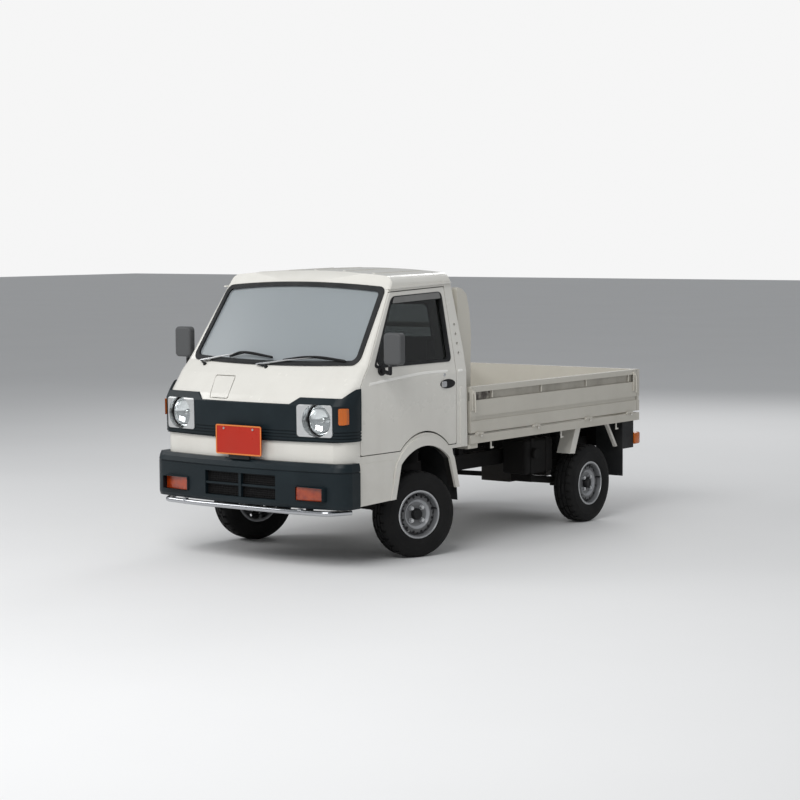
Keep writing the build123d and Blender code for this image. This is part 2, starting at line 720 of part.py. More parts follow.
def cab_floor():
    """Footwell, riser, seat platform and the inner walls of the wheel housings."""
    half = CAB_HALF - FLANK_DEPTH - CABIN_GAP
    rear = CAB_REAR - REAR_SPLIT - CABIN_GAP
    front = CAB_FRONT + CAB_WALL + 14.0
    pan = (cab_body(CAB_WALL + CABIN_GAP) & box(-half, half, -1700, RISER_Y, FOOTWELL_Z - PAN, FOOTWELL_Z))
    riser = box(-half, half, RISER_Y - PAN, RISER_Y, FOOTWELL_Z - PAN, PLATFORM_Z)
    platform = box(-half, half, RISER_Y - PAN, rear, PLATFORM_Z - PAN, PLATFORM_Z)
    shape = pan + riser + platform
    for side in (-1, 1):
        shape += box(side * HOUSE_X, side * (HOUSE_X - 8.0), RISER_Y - PAN, rear,
                     FRAME_Z + FRAME_HEIGHT + 2.0, PLATFORM_Z - 1.0)
        shape += box(side * HOUSE_X, side * half, rear - 8.0, rear, SIDE_REAR_BOTTOM_Z, PLATFORM_Z - 1.0)
        shape += box(side * (SEAT_X - SEAT_HALF + 30.0), side * (SEAT_X + SEAT_HALF - 30.0),
                     SEAT_FRONT_Y + 30.0,
                     SEAT_REAR_Y - 30.0, PLATFORM_Z - 1.0, CUSHION_Z[0] - 0.5)
    return shape


DASH_HALF = 588.0
DASH_INSET = CAB_WALL + 14.0


def dashboard():
    """Instrument panel across the cabin, clear of the swing of the doors."""
    profile = [(-1420.0, 930.0), (-1190.0, 930.0), (-1165.0, 985.0), (-1210.0, 1058.0), (-1290.0, 1078.0),
               (-1420.0, 1078.0)]
    zone = side_plate(profile, -DASH_HALF, DASH_HALF, radius=16.0)
    return cab_body(DASH_INSET) & zone


WHEEL_AXIS_X = -330.0
COLUMN_LOW = (WHEEL_AXIS_X, -1400.0, FOOTWELL_Z + 14.0)
HAND_WHEEL_CENTRE = (WHEEL_AXIS_X, -1045.0, 1020.0)
HAND_WHEEL_RADIUS = 190.0


def column_point(back):
    """A point on the steering column's axis, a distance below the hand wheel."""
    run = Vector(*HAND_WHEEL_CENTRE) - Vector(*COLUMN_LOW)
    return Vector(*HAND_WHEEL_CENTRE) - run.normalized() * back


def steering_column():
    """Column from the floor to under the hand wheel, in its shroud."""
    shaft = rod(COLUMN_LOW, tuple(column_point(12.0)), 16.0)
    shroud = rod(tuple(column_point(190.0)), tuple(column_point(14.0)), 38.0)
    return (shaft + shroud) - dashboard()


def steering_wheel():
    """Hand wheel with two spokes and a hub pad."""
    run = Vector(*HAND_WHEEL_CENTRE) - Vector(*COLUMN_LOW)
    plane = Plane(origin=HAND_WHEEL_CENTRE, x_dir=(1, 0, 0), z_dir=run)
    rim = Torus(HAND_WHEEL_RADIUS, 13.0)
    spokes = Pos(0, -8.0, -2.0) * Box(2 * HAND_WHEEL_RADIUS - 8.0, 34.0, 12.0)
    hub = Pos(0, 0, 2.0) * Cylinder(44.0, 22.0)
    return plane * (rim + spokes + hub)


def seat_cushions():
    """Two seat cushions."""
    cushion = box(SEAT_X - SEAT_HALF, SEAT_X + SEAT_HALF, SEAT_FRONT_Y, SEAT_REAR_Y, *CUSHION_Z)
    cushion = fillet(cushion.edges(), 26.0)
    return pair(cushion)


def seat_backs():
    """Two seat backs that lean on the rear wall's foot."""
    profile = [(SEAT_REAR_Y + 8.0, CUSHION_Z[1] - 60.0), (SEAT_REAR_Y + 110.0, CUSHION_Z[1] - 60.0),
               (CAB_REAR - 98.0, BACK_TOP_Z), (CAB_REAR - 180.0, BACK_TOP_Z)]
    back = side_plate(profile, SEAT_X - SEAT_HALF + 10.0, SEAT_X + SEAT_HALF - 10.0, radius=18.0)
    return pair(back)


def interior_mirror():
    """Rear-view mirror that hangs from the header."""
    body = box(-112.0, 112.0, -1012.0, -996.0, 1412.0, 1466.0)
    body = fillet(body.edges().filter_by(Axis.Y), 16.0)
    stalk = rod((0, -1000.0, 1455.0), (0, -968.0, 1560.0), 6.0)
    return (body + stalk) - (OUTER & crown() - (INNER & crown(ROOF_SKIN + 0.5, CAB_WALL)))


def door():
    """Left door as thick as the whole flank, its window cut and its rear edge swept about the hinge."""
    swing = DOOR_REAR_Y - PANEL_GAP - DOOR_HINGE_Y
    sweep_zone = rod((DOOR_HINGE_X, DOOR_HINGE_Y, 500.0), (DOOR_HINGE_X, DOOR_HINGE_Y, 1700.0), swing)
    leaf = SHELL & flank_zone() & door_prism(PANEL_GAP) & below_rail(DOOR_TOP_DROP) & sweep_zone
    return leaf - side_window(0.0)


def door_glass():
    """Side window pane, inside the door's frame."""
    zone = side_window(-RUNNING_GAP) & flank_zone()
    mid = CAB_WALL * 0.4
    return (cab_body(mid) & zone) - (cab_body(mid + GLASS) & zone)


MIRROR_BASE = (668.0, -1158.0, 1076.0)
MIRROR_PAD_X = (648.0, 676.0)
MIRROR_CENTRE = (768.0, -1178.0, 1200.0)
MIRROR_WIDTH = 118.0
MIRROR_HEIGHT = 176.0
MIRROR_DEPTH = 44.0


def door_mirror():
    """Outer mirror: foot on the door, bent arm and housing."""
    x, y, z = MIRROR_CENTRE
    head = box(x - MIRROR_WIDTH / 2, x + MIRROR_WIDTH / 2, y - MIRROR_DEPTH / 2, y + MIRROR_DEPTH / 2,
               z - MIRROR_HEIGHT / 2, z + MIRROR_HEIGHT / 2)
    head = fillet(head.edges().filter_by(Axis.Y), 24.0)
    head = fillet(head.faces().sort_by(Axis.Y)[0].edges(), 14.0)
    elbow = (x - 26.0, y, z - MIRROR_HEIGHT / 2 - 46.0)
    foot = rod(MIRROR_BASE, elbow, 11.0) + Pos(*elbow) * Sphere(11.0)
    stem = rod(elbow, (x - 26.0, y, z - MIRROR_HEIGHT / 2 + 14.0), 11.0)
    pad = rod((MIRROR_PAD_X[0], MIRROR_BASE[1], MIRROR_BASE[2]),
              (MIRROR_PAD_X[1], MIRROR_BASE[1], MIRROR_BASE[2]), 26.0)
    return (head + foot + stem + pad) - cab_body(-0.3)


# Service lid in the nose, in the front view
LID_X = (-322.0, -172.0)
LID_Z = (918.0, 1030.0)
LID_DEPTH = 3.0
LID_GAP = 2.0
LID_CLEAR = 5.0
LID_POCKET = 10.0


def lid_zone(grow):
    """The service lid's outline carried through the nose."""
    return front_plate([(LID_X[0] + 55.0 - grow, LID_Z[0] - grow), (LID_X[1] + 38.0 + grow, LID_Z[0] - grow),
                        (LID_X[1] + grow, LID_Z[1] + grow), (LID_X[0] - grow,
                                                             LID_Z[1] + grow)], -1700.0, -1380.0, radius=10.0)


def service_lid():
    """Small lid over the filler behind the nose panel."""
    zone = lid_zone(0.0)
    return (OUTER & zone) - (cab_body(LID_DEPTH) & zone)


def lid_pocket():
    """The shallow pocket under the service lid."""
    zone = lid_zone(LID_CLEAR)
    return (cab_body(-5.0) & zone) - (cab_body(LID_POCKET) & zone)


# Load bed: deck, side rails, hooks, headboard and the guard frame behind the cab
RAIL_WIDTH = 46.0
BEAM_Y = (-300.0, 40.0, 380.0, 720.0, 1270.0)
BEAM_WIDTH = 46.0
HOOK_Y = (-118.0, 649.0, 1306.0)
HOOK_DROP = 44.0
TAIL_Y = 1540.0
TAIL_BEAM_Y = (1470.0, 1530.0)
HINGE_Y = (-263.0, 344.0, 941.0, 1444.0)
HINGE_X = BED_HALF + 5.0
HINGE_Z = 661.0
TAIL_HINGE_X = (-520.0, 0.0, 520.0)
HINGE_LEAF = 8.5


DECK_HALF = BED_HALF - RAIL_WIDTH
DECK_END_Y = TAIL_Y - 2.0
TAIL_FACE_Y = TAIL_Y + 2.0 + GATE_THICK
DECK_SEAM_Y = -190.0
HOOK_RADIUS = 5.0
HOOK_TURN = 22.0


def bed_deck():
    """Flat deck, with the seam behind the guard frame."""
    deck = box(-DECK_HALF, DECK_HALF, BED_FRONT_Y, DECK_END_Y, DECK_Z - DECK_THICK, DECK_Z)
    return deck - box(-DECK_HALF - 1.0, DECK_HALF + 1.0, DECK_SEAM_Y - 2.0, DECK_SEAM_Y + 2.0, DECK_Z - 3.0,
                      DECK_Z + 1.0)


def bed_beams():
    """Cross beams, side rails and tail rail under and round the deck."""
    reach = DECK_HALF - RUNNING_GAP
    top = DECK_Z - 8.0
    beams = [box(-reach, reach, y - BEAM_WIDTH / 2, y + BEAM_WIDTH / 2, RAIL_BOTTOM_Z,
                 DECK_Z - DECK_THICK) for y in BEAM_Y]
    for side in (-1, 1):
        beams.append(box(side * DECK_HALF, side * BED_HALF, BED_FRONT_Y, DECK_END_Y - RUNNING_GAP,
                         RAIL_BOTTOM_Z, top))
    beams.append(box(-BED_HALF, BED_HALF, DECK_END_Y, TAIL_FACE_Y, RAIL_BOTTOM_Z, top))
    return beams


def bed_fittings():
    """Rope hooks under the side rails, and the hinge leaves of the drop sides and the tailgate."""
    fittings = []
    low = RAIL_BOTTOM_Z - HOOK_DROP
    for side in (-1, 1):
        x = side * (BED_HALF - 16.0)
        for y in HOOK_Y:
            shank = rod((x, y, RAIL_BOTTOM_Z), (x, y, low), HOOK_RADIUS)
            turn = rod((x - 0.1, y, low + HOOK_RADIUS), (x - 0.1, y + HOOK_TURN, low + HOOK_RADIUS),
                       HOOK_RADIUS)
            fittings.append(shank + turn)
        for y in HINGE_Y:
            fittings.append(box(side * BED_HALF, side * (BED_HALF + HINGE_LEAF), y + 12.0, y + 28.0,
                                HINGE_Z - 18.0, HINGE_Z + 5.0))
    for x in TAIL_HINGE_X:
        fittings.append(box(x + 12.0, x + 28.0, TAIL_FACE_Y, TAIL_FACE_Y + HINGE_LEAF, HINGE_Z - 18.0,
                            HINGE_Z + 5.0))
    return fittings


HEADBOARD_THICK = 28.0
GUARD_X = (560.0, 600.0)
GUARD_FOOT_Y = BED_FRONT_Y + HEADBOARD_THICK + 0.3

# Guard post's edge, from the foot's rear up over the top. Columns: distance behind the bed's front, z
GUARD_EDGE = (
    (140.0, DECK_Z + 0.3), (142.0, 1085.0), (148.0, 1238.0), (130.0, 1378.0), (102.0, 1470.0), (56.0, 1504.0),
    (16.0, 1513.0), (4.0, 1500.0),
)
GUARD_BAR_BACK = 60.0
GUARD_BAR_Z = (1110.0, 1290.0, 1466.0)
GUARD_BAR_RADIUS = 16.0


def bed_headboard():
    """Front board of the bed."""
    inner = BED_HALF - GATE_THICK - GATE_GAP
    board = box(-inner, inner, BED_FRONT_Y, BED_FRONT_Y + HEADBOARD_THICK, DECK_Z + 0.3, GATE_TOP_Z)
    for z in (740.0, 835.0):
        board -= box(-inner + 60.0, inner - 60.0, BED_FRONT_Y + HEADBOARD_THICK - 6.0,
                     BED_FRONT_Y + HEADBOARD_THICK + 1.0, z, z + 40.0)
    return board


def guard_frame():
    """Guard behind the rear window: two deep posts with rounded tops, tied by cross bars."""
    edge = [(BED_FRONT_Y + back, z) for back, z in GUARD_EDGE]
    profile = edge + [(GUARD_FOOT_Y, GATE_TOP_Z + 40.0), (GUARD_FOOT_Y, DECK_Z + 0.3)]
    post = side_plate(profile, *GUARD_X, radius=7.0)
    frame = post + mirrored(post)
    reach = GUARD_X[0] + 1.0
    bar_y = BED_FRONT_Y + GUARD_BAR_BACK
    for z in GUARD_BAR_Z:
        frame += rod((-reach, bar_y, z), (reach, bar_y, z), GUARD_BAR_RADIUS)
    return frame


GATE_SLOT_Z = (858.0, 906.0)
GATE_SLOT_DEPTH = 14.0
GATE_RIB_Z = (738.0, 764.0)
GATE_RIB_DEPTH = 8.0
GATE_PIN_Y = (-117.0, 411.0, 928.0, 1442.0)
GATE_LOW_Z = DECK_Z + 4.0


def side_gate():
    """Left drop side: pressed panel with its rope slot, rib groove, pins and hinge tongues."""
    y0 = BED_FRONT_Y + 4.0
    y1 = TAIL_Y - 3.0
    x0 = BED_HALF - GATE_THICK
    gate = box(x0, BED_HALF, y0, y1, GATE_LOW_Z, GATE_TOP_Z)
    gate -= box(BED_HALF - GATE_SLOT_DEPTH, BED_HALF + 1.0, y0 + 46.0, y1 - 26.0, *GATE_SLOT_Z)
    gate -= box(BED_HALF - GATE_RIB_DEPTH, BED_HALF + 1.0, y0 + 2.0, y1 + 1.0, *GATE_RIB_Z)
    for y in GATE_PIN_Y:
        x = BED_HALF - GATE_SLOT_DEPTH / 2
        gate += rod((x, y, GATE_SLOT_Z[0] + 6.0), (x, y, GATE_SLOT_Z[1] + 1.0), 5.0)
    for y in HINGE_Y:
        gate += box(BED_HALF - 1.0, HINGE_X + 4.0, y - 28.0, y + 9.0, HINGE_Z - 2.0, HINGE_Z + 12.0)
    return gate


def tail_gate():
    """Tailgate with its ribs and hinge tongues."""
    y0 = TAIL_Y + 2.0
    y1 = y0 + GATE_THICK
    gate = box(-BED_HALF, BED_HALF, y0, y1, GATE_LOW_Z, GATE_TOP_Z)
    gate -= box(-BED_HALF + 40.0, BED_HALF - 40.0, y1 - GATE_SLOT_DEPTH, y1 + 1.0, *GATE_SLOT_Z)
    gate -= box(-BED_HALF - 1.0, BED_HALF + 1.0, y1 - GATE_RIB_DEPTH, y1 + 1.0, *GATE_RIB_Z)
    for x in TAIL_HINGE_X:
        gate += box(x - 28.0, x + 9.0, y1 - 1.0, y1 + 9.0, HINGE_Z - 2.0, HINGE_Z + 12.0)
    return gate


# Frame and running gear
CROSS_Y = (-1440.0, -560.0, 120.0, 640.0, 1085.0)
RAIL_SPAN_Y = (-1470.0, TAIL_BEAM_Y[0])

# Tow eyes under the left rail. Columns: y, z of the hole
TOW_EYES = ((-1376.0, 322.0), (1420.0, 350.0))
TOW_THICK = 16.0
TOW_HOLE = 13.0
TOW_REACH = 24.0


def frame_rails():
    """The ladder frame's two rails."""
    inner = FRAME_HALF - FRAME_WIDTH / 2
    return [box(side * inner, side * (inner + FRAME_WIDTH), *RAIL_SPAN_Y, FRAME_Z, FRAME_Z + FRAME_HEIGHT)
            for side in (-1, 1)]


def frame_members():
    """Cross members between the rails, bed outriggers on them, and the tail beam."""
    inner = FRAME_HALF - FRAME_WIDTH / 2
    members = [box(-inner, inner, y - 25.0, y + 25.0, FRAME_Z + 12.0,
                   FRAME_Z + FRAME_HEIGHT - 12.0) for y in CROSS_Y]
    for y in BEAM_Y:
        for side in (-1, 1):
            members.append(box(side * (FRAME_HALF - 24.0), side * (FRAME_HALF + 24.0), y - 20.0, y + 20.0,
                               FRAME_Z + FRAME_HEIGHT, RAIL_BOTTOM_Z))
    members.append(box(-BED_HALF + 60.0, BED_HALF - 60.0, *TAIL_BEAM_Y, FRAME_Z + 30.0, RAIL_BOTTOM_Z))
    return members


def tow_eyes():
    """Tow lugs under the left rail, one at each end, bored crosswise."""
    lugs = []
    for y, z in TOW_EYES:
        lug = box(FRAME_HALF - TOW_THICK / 2, FRAME_HALF + TOW_THICK / 2, y - TOW_REACH, y + TOW_REACH,
                  z - TOW_REACH, FRAME_Z)
        lugs.append(lug - rod((FRAME_HALF - TOW_THICK, y, z), (FRAME_HALF + TOW_THICK, y, z), TOW_HOLE))
    return lugs


ENGINE_HALF = 250.0
ENGINE_Y = (1150.0, 1440.0)
ENGINE_Z = (250.0, 560.0)
GEARBOX_HALF = 110.0
GEARBOX_Z = (222.0, 360.0)


def engine_block():
    """Plain block for the engine under the rear of the bed, with the transaxle ahead of it."""
    engine = box(-ENGINE_HALF, ENGINE_HALF, *ENGINE_Y, ENGINE_Z[0], FRAME_Z + 10.0)
    engine += box(-ENGINE_HALF + 20.0, ENGINE_HALF - 20.0, *ENGINE_Y, FRAME_Z, ENGINE_Z[1])
    gearbox = box(-GEARBOX_HALF, GEARBOX_HALF, REAR_AXLE_Y - 80.0, ENGINE_Y[0] + 1.0, *GEARBOX_Z)
    return engine + gearbox


def exhaust_muffler():
    """Transverse silencer behind the engine, with its tail pipe."""
    y = ENGINE_Y[1] + 70.0
    drum = rod((-260.0, y, 330.0), (190.0, y, 330.0), 58.0)
    pipe = rod((-255.0, y, 310.0), (-330.0, y, 310.0), 17.0) + rod((-330.0, y - 2.0, 310.0),
                                                                   (-330.0, y + 68.0, 300.0), 17.0)
    stay_top = FRAME_Z + 29.7
    stays = box(-200.0, -180.0, y - 8.0, y + 8.0, 380.0, stay_top) + box(130.0, 150.0, y - 8.0, y + 8.0,
                                                                         380.0, stay_top)
    return drum + pipe + Pos(-330.0, y, 310.0) * Sphere(17.0) + stays


TANK_X = (380.0, 560.0)
TANK_Y = (440.0, 748.0)
TANK_Z = (341.0, 558.0)


def fuel_tank():
    """Fuel tank on the left, hung from the deck beams."""
    tank = fillet(box(*TANK_X, *TANK_Y, *TANK_Z).edges(), 20.0)
    straps = box(TANK_X[0] + 40.0, TANK_X[0] + 70.0, 700.0, 716.0, TANK_Z[1] - 2.0, RAIL_BOTTOM_Z - 0.3)
    rail_lug = box(FRAME_HALF + FRAME_WIDTH / 2 + 0.3, TANK_X[0] + 6.0, 480.0, 540.0, FRAME_Z + 20.0,
                   FRAME_Z + 70.0)
    return tank + straps + rail_lug


KINGPIN_X = TRACK_HALF - KINGPIN_OFFSET
KNUCKLE_HALF = 62.0
EYE_Z = 78.0
PIN_RADIUS = 9.0


def front_suspension():
    """Cross member, wishbones and dampers of the front axle."""
    y = FRONT_AXLE_Y
    z = TYRE_RADIUS
    shape = box(-FRAME_HALF, FRAME_HALF, y - 45.0, y + 45.0, 250.0, 330.0)
    for side in (-1, 1):
        shape += box(side * (FRAME_HALF - 40.0), side * (FRAME_HALF + 28.0), y - 45.0, y + 45.0, 249.0,
                     FRAME_Z - 0.3)
        eye_x = side * KINGPIN_X
        for sign in (-1, 1):
            level = z + sign * EYE_Z
            eye = rod((eye_x, y, level - 10.0), (eye_x, y, level + 10.0), 19.0)
            for foot_y in (y - 38.0, y + 38.0):
                shape += rod((eye_x - side * 12.0, y, level),
                             (side * FRAME_HALF, foot_y, level + (88.0 if sign < 0 else 0.0) * 1.0), 9.0)
            shape += eye
            shape -= rod((eye_x, y, level - 30.0), (eye_x, y, level + 30.0), PIN_RADIUS + RUNNING_GAP)
        shape += rod((side * 430.0, y, 214.0), (side * 372.0, y, 486.0), 20.0) - box(side * 330, side * 361,
                                                                                     y - 60, y + 60, 380, 500)
    return shape


def knuckle(side):
    """Steering knuckle: kingpin, backing plate, spindle and steering arm, turned as parked."""
    post = Cylinder(17.0, 2 * KNUCKLE_HALF)
    pin = Cylinder(PIN_RADIUS, 2 * EYE_Z + 24.0)
    plate = Pos(21.0, 0, 0) * Rot(0, 90, 0) * Cylinder(58.0, 6.0)
    spindle = Rot(0, 90, 0) * Cylinder(SPINDLE_RADIUS, 56.0, align=(Align.CENTER, Align.CENTER, Align.MIN))
    collar = Rot(0, 90, 0) * Cylinder(24.0, 22.0, align=(Align.CENTER, Align.CENTER, Align.MIN))
    arm = Pos(-16.0, 46.0, -34.0) * Box(22.0, 92.0, 14.0)
    shape = post + pin + plate + spindle + collar + arm
    if side < 0:
        shape = mirrored(shape)
    return Pos(side * KINGPIN_X, FRONT_AXLE_Y, TYRE_RADIUS) * Rot(0, 0, PARKED_STEER) * shape


ARM_X = 491.0
ARM_LENGTH = 418.0
ARM_RISE = 58.0


def rear_suspension():
    """Half shafts, trailing arms and springs of the rear axle, with the stub that each wheel turns on."""
    y = REAR_AXLE_Y
    z = TYRE_RADIUS
    shape = []
    for side in (-1, 1):
        shaft = rod((side * (GEARBOX_HALF + 0.4), y, z + 8.0), (side * 520.0, y, z), 16.0)
        hub = rod((side * 500.0, y, z), (side * (TRACK_HALF - 4.0), y, z), 30.0)
        stub = rod((side * 590.0, y, z), (side * (TRACK_HALF + 26.0), y, z), SPINDLE_RADIUS)
        plate = rod((side * (TRACK_HALF - 12.0), y, z), (side * (TRACK_HALF - 6.0), y, z), 58.0)
        arm = rod((side * ARM_X, y - ARM_LENGTH, z + ARM_RISE), (side * ARM_X, y + 24.0, z), 22.0)
        pivot = box(side * 361.0, side * (ARM_X + 21.0), y - ARM_LENGTH - 22.0, y - ARM_LENGTH + 22.0,
                    z + ARM_RISE - 20.0, z + ARM_RISE + 20.0)
        lug = box(side * 361.0, side * 373.0, y - ARM_LENGTH - 22.0, y - ARM_LENGTH + 22.0, z + ARM_RISE,
                  FRAME_Z + 60.0)
        spring = rod((side * 455.0, y - 60.0, z + 10.0), (side * 440.0, y - 60.0, RAIL_BOTTOM_Z - 14.0), 34.0)
        foot = box(side * 430.0, side * 480.0, y - 100.0, y - 20.0, z - 20.0, z + 20.0)
        seat = box(side * 361.0, side * 480.0, y - 100.0, y - 20.0, RAIL_BOTTOM_Z - 30.0,
                   RAIL_BOTTOM_Z - 10.0)
        post = box(side * 361.0, side * 374.0, y - 100.0, y - 20.0, FRAME_Z + 50.0, RAIL_BOTTOM_Z - 12.0)
        shape.append(shaft + hub + stub + plate + arm + pivot + lug + spring + foot + seat + post)
    return shape


def tyre():
    """Tyre about its own axle, which lies along X."""
    half = TYRE_WIDTH / 2
    bead = RIM_RADIUS + 0.6
    seat = RIM_BARREL + RIM_WALL + RUNNING_GAP
    tread = half - TYRE_SHOULDER
    edges = [
        Line((-56.0, seat), (56.0, seat)),
        Line((56.0, seat), (56.0, bead)),
        Line((56.0, bead), (63.0, bead)),
        ThreePointArc((63.0, bead), (half, (bead + TYRE_RADIUS) / 2 + 4.0), (half - 6.0, TYRE_RADIUS - 18.0)),
        ThreePointArc((half - 6.0, TYRE_RADIUS - 18.0), (half - 13.0, TYRE_RADIUS - 5.5),
                      (tread, TYRE_RADIUS)),
        Line((tread, TYRE_RADIUS), (-tread, TYRE_RADIUS)),
        ThreePointArc((-tread, TYRE_RADIUS), (13.0 - half, TYRE_RADIUS - 5.5),
                      (6.0 - half, TYRE_RADIUS - 18.0)),
        ThreePointArc((6.0 - half, TYRE_RADIUS - 18.0), (-half, (bead + TYRE_RADIUS) / 2 + 4.0),
                      (-63.0, bead)),
        Line((-63.0, bead), (-56.0, bead)),
        Line((-56.0, bead), (-56.0, seat)),
    ]
    return revolve(make_face(edges), Axis.X)


def rim():
    """Pressed steel wheel about its own axle: barrel, flanges, vented dish, drum, nuts and hub cap."""
    outer = RIM_BARREL + RIM_WALL
    bore = SPINDLE_RADIUS + RUNNING_GAP
    profile = [
        (-62.0, RIM_BARREL), (-62.0, RIM_RADIUS), (-56.5, RIM_RADIUS), (-56.5, outer), (56.5, outer),
        (56.5, RIM_RADIUS), (62.0, RIM_RADIUS), (62.0, RIM_BARREL + 3.0), (48.0, RIM_BARREL),
        (30.0, RIM_BARREL - 2.0), (44.0, 104.0), (46.0, 84.0), (30.0, 72.0), (30.0, 31.0), (50.0, 29.0),
        (53.0, 26.0), (53.0, 0.0), (30.0, 0.0), (30.0, bore), (1.0, bore), (1.0, 84.0), (24.0, 84.0),
        (38.0, 90.0), (38.0, 100.0), (24.0, RIM_BARREL - 1.0), (24.0, RIM_BARREL),
    ]
    wheel = revolve(make_face(Polyline(*profile, close=True)), Axis.X)
    for i in range(VENT_COUNT):
        angle = radians(360.0 * i / VENT_COUNT)
        y, z = 108.0 * cos(angle), 108.0 * sin(angle)
        wheel -= rod((18.0, y, z), (60.0, y, z), 7.5)
    for i in range(4):
        angle = radians(45.0 + 90.0 * i)
        y, z = NUT_CIRCLE * cos(angle), NUT_CIRCLE * sin(angle)
        wheel += rod((29.0, y, z), (44.0, y, z), 10.0)
    return wheel


def wheel_place(corner):
    """Where a wheel's own frame sits: front wheels turn with their knuckles as parked."""
    front = corner[0] == "f"
    side = 1 if corner[1] == "l" else -1
    flip = Rot(0, 0, 0) if side > 0 else Rot(0, 0, 180)
    if front:
        knuckle_place = Pos(side * KINGPIN_X, FRONT_AXLE_Y, TYRE_RADIUS) * Rot(0, 0, PARKED_STEER)
        return knuckle_place * flip * Pos(KINGPIN_OFFSET, 0, 0)
    return Pos(side * TRACK_HALF, REAR_AXLE_Y, TYRE_RADIUS) * flip


# Tail: lamps, mudguards and the brackets ahead of the rear wheels
TAIL_LAMP_X = (470.0, 694.0)
TAIL_LAMP_Z = (448.0, 530.0)
TAIL_LAMP_Y = (1532.0, REAR_END)


def rear_lamps():
    """Lamp clusters hung under the bed's rear corners, each on its bracket."""
    lamps = []
    for side in (-1, 1):
        body = box(side * TAIL_LAMP_X[0], side * TAIL_LAMP_X[1], TAIL_BEAM_Y[1] + 0.3, TAIL_LAMP_Y[1],
                   *TAIL_LAMP_Z)
        body = fillet(body.edges().filter_by(Axis.Z), 12.0)
        lamps.append(body)
    return lamps


def rear_mudguards():
    """Black panels behind the rear wheels and under the bed's rear corners."""
    guards = []
    for side in (-1, 1):
        outer = side * (BED_HALF - 18.0)
        panel = box(side * 480.0, outer, 1390.0, 1396.0, 255.0, RAIL_BOTTOM_Z - 0.3)
        wing = box(outer, side * (BED_HALF - 24.0), 1390.0, TAIL_Y - 12.0, 430.0, RAIL_BOTTOM_Z - 0.3)
        guards.append(panel + wing)
    return guards


def fender_brackets():
    """Light painted brackets: ahead of and behind each rear wheel, and under the cab's rear corners."""
    shapes = []
    for side in (-1, 1):
        x0, x1 = sorted((side * 568.0, side * 664.0))
        plate = side_plate([(846.0, RAIL_BOTTOM_Z - 0.3), (906.0, RAIL_BOTTOM_Z - 0.3), (838.0, 448.0),
                            (778.0, 452.0)], x0, x1)
        strut = side_plate([(1240.0, RAIL_BOTTOM_Z - 0.3), (1262.0, RAIL_BOTTOM_Z - 0.3), (1376.0, 450.0),
                            (1356.0, 446.0)],
                           *sorted((side * 630.0, side * 650.0)))
        shapes += [plate, strut]
    return shapes


def grouped(shapes):
    """Solids that share a node."""
    return Compound(children=list(shapes)) if isinstance(shapes, (list, tuple)) else shapes


def nodes():
    """Every node by name, with its shape."""
    side_left = cab_side()
    left_door, glass, looking = door(), door_glass(), door_mirror()
    gate = side_gate()
    table = {
        "frame_rails": frame_rails(),
        "frame_members": frame_members(),
        "tow_eyes": tow_eyes(),
        "engine_block": engine_block(),
        "exhaust_muffler": exhaust_muffler(),
        "fuel_tank": fuel_tank(),
        "front_suspension": front_suspension(),
        "rear_suspension": rear_suspension(),
        "cab_floor": cab_floor(),
        "cab_front_panel": cab_front() - lid_pocket(),
        "cab_side_left": side_left,
        "cab_side_right": mirrored(side_left),
        "cab_rear_wall": cab_rear(),
        "cab_roof": cab_roof(),
        "cab_glass": [windscreen(), rear_window()],
        "window_seals": [windscreen_seal(), rear_window_seal()],
        "front_garnish": front_garnish(),
        "headlamp_bezels": headlamp_bezels(),
        "headlamp_lenses": headlamp_lenses(),
        "front_bumper": front_bumper(),
        "front_lamps": corner_lamps() + bumper_lamps(),
        "bumper_bar": bumper_bar(),
        "number_plates": number_plates(),
        "wipers": wipers(),
        "dashboard": dashboard(),
        "steering_column": steering_column(),
        "seat_cushions": seat_cushions(),
        "seat_backs": seat_backs(),
        "interior_mirror": interior_mirror(),
        "bed_deck": bed_deck(),
        "bed_beams": bed_beams(),
        "bed_fittings": bed_fittings(),
        "bed_headboard": bed_headboard(),
        "guard_frame": guard_frame(),
        "rear_lamps": rear_lamps(),
        "rear_mudguards": rear_mudguards(),
        "fender_brackets": fender_brackets(),
        "steering_wheel": steering_wheel(),
        "service_lid": service_lid(),
        "side_gate_left": gate,
        "side_gate_right": mirrored(gate),
        "tailgate": tail_gate(),
        "knuckle_left": knuckle(1),
        "knuckle_right": knuckle(-1),
    }
    for name, shape in (("door", left_door), ("door_glass", glass), ("door_mirror", looking)):
        table[name + "_left"] = shape
        table[name + "_right"] = mirrored(shape)
    rubber, steel = tyre(), rim()
    for corner in ("fl", "fr", "rl", "rr"):
        table["tyre_" + corner] = wheel_place(corner) * rubber
        table["rim_" + corner] = wheel_place(corner) * steel
    return table


os.makedirs("parts", exist_ok=True)
for node, solid in nodes().items():
    export_step(grouped(solid), f"parts/{node}.step")
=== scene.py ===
import json
from math import atan2, cos, pi, radians, sin

import bmesh
import bpy
from mathutils import Matrix, Vector
from mathutils.bvhtree import BVHTree


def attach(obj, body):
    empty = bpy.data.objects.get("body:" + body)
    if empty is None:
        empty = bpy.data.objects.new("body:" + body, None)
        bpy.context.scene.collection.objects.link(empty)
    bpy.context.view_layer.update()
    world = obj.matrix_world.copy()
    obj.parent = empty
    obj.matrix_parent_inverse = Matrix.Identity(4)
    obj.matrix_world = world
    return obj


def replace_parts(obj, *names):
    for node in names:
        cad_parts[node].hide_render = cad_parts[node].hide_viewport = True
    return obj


# Small cab-over pickup truck. Metres, +X the truck's left, -Y its front, +Z up.

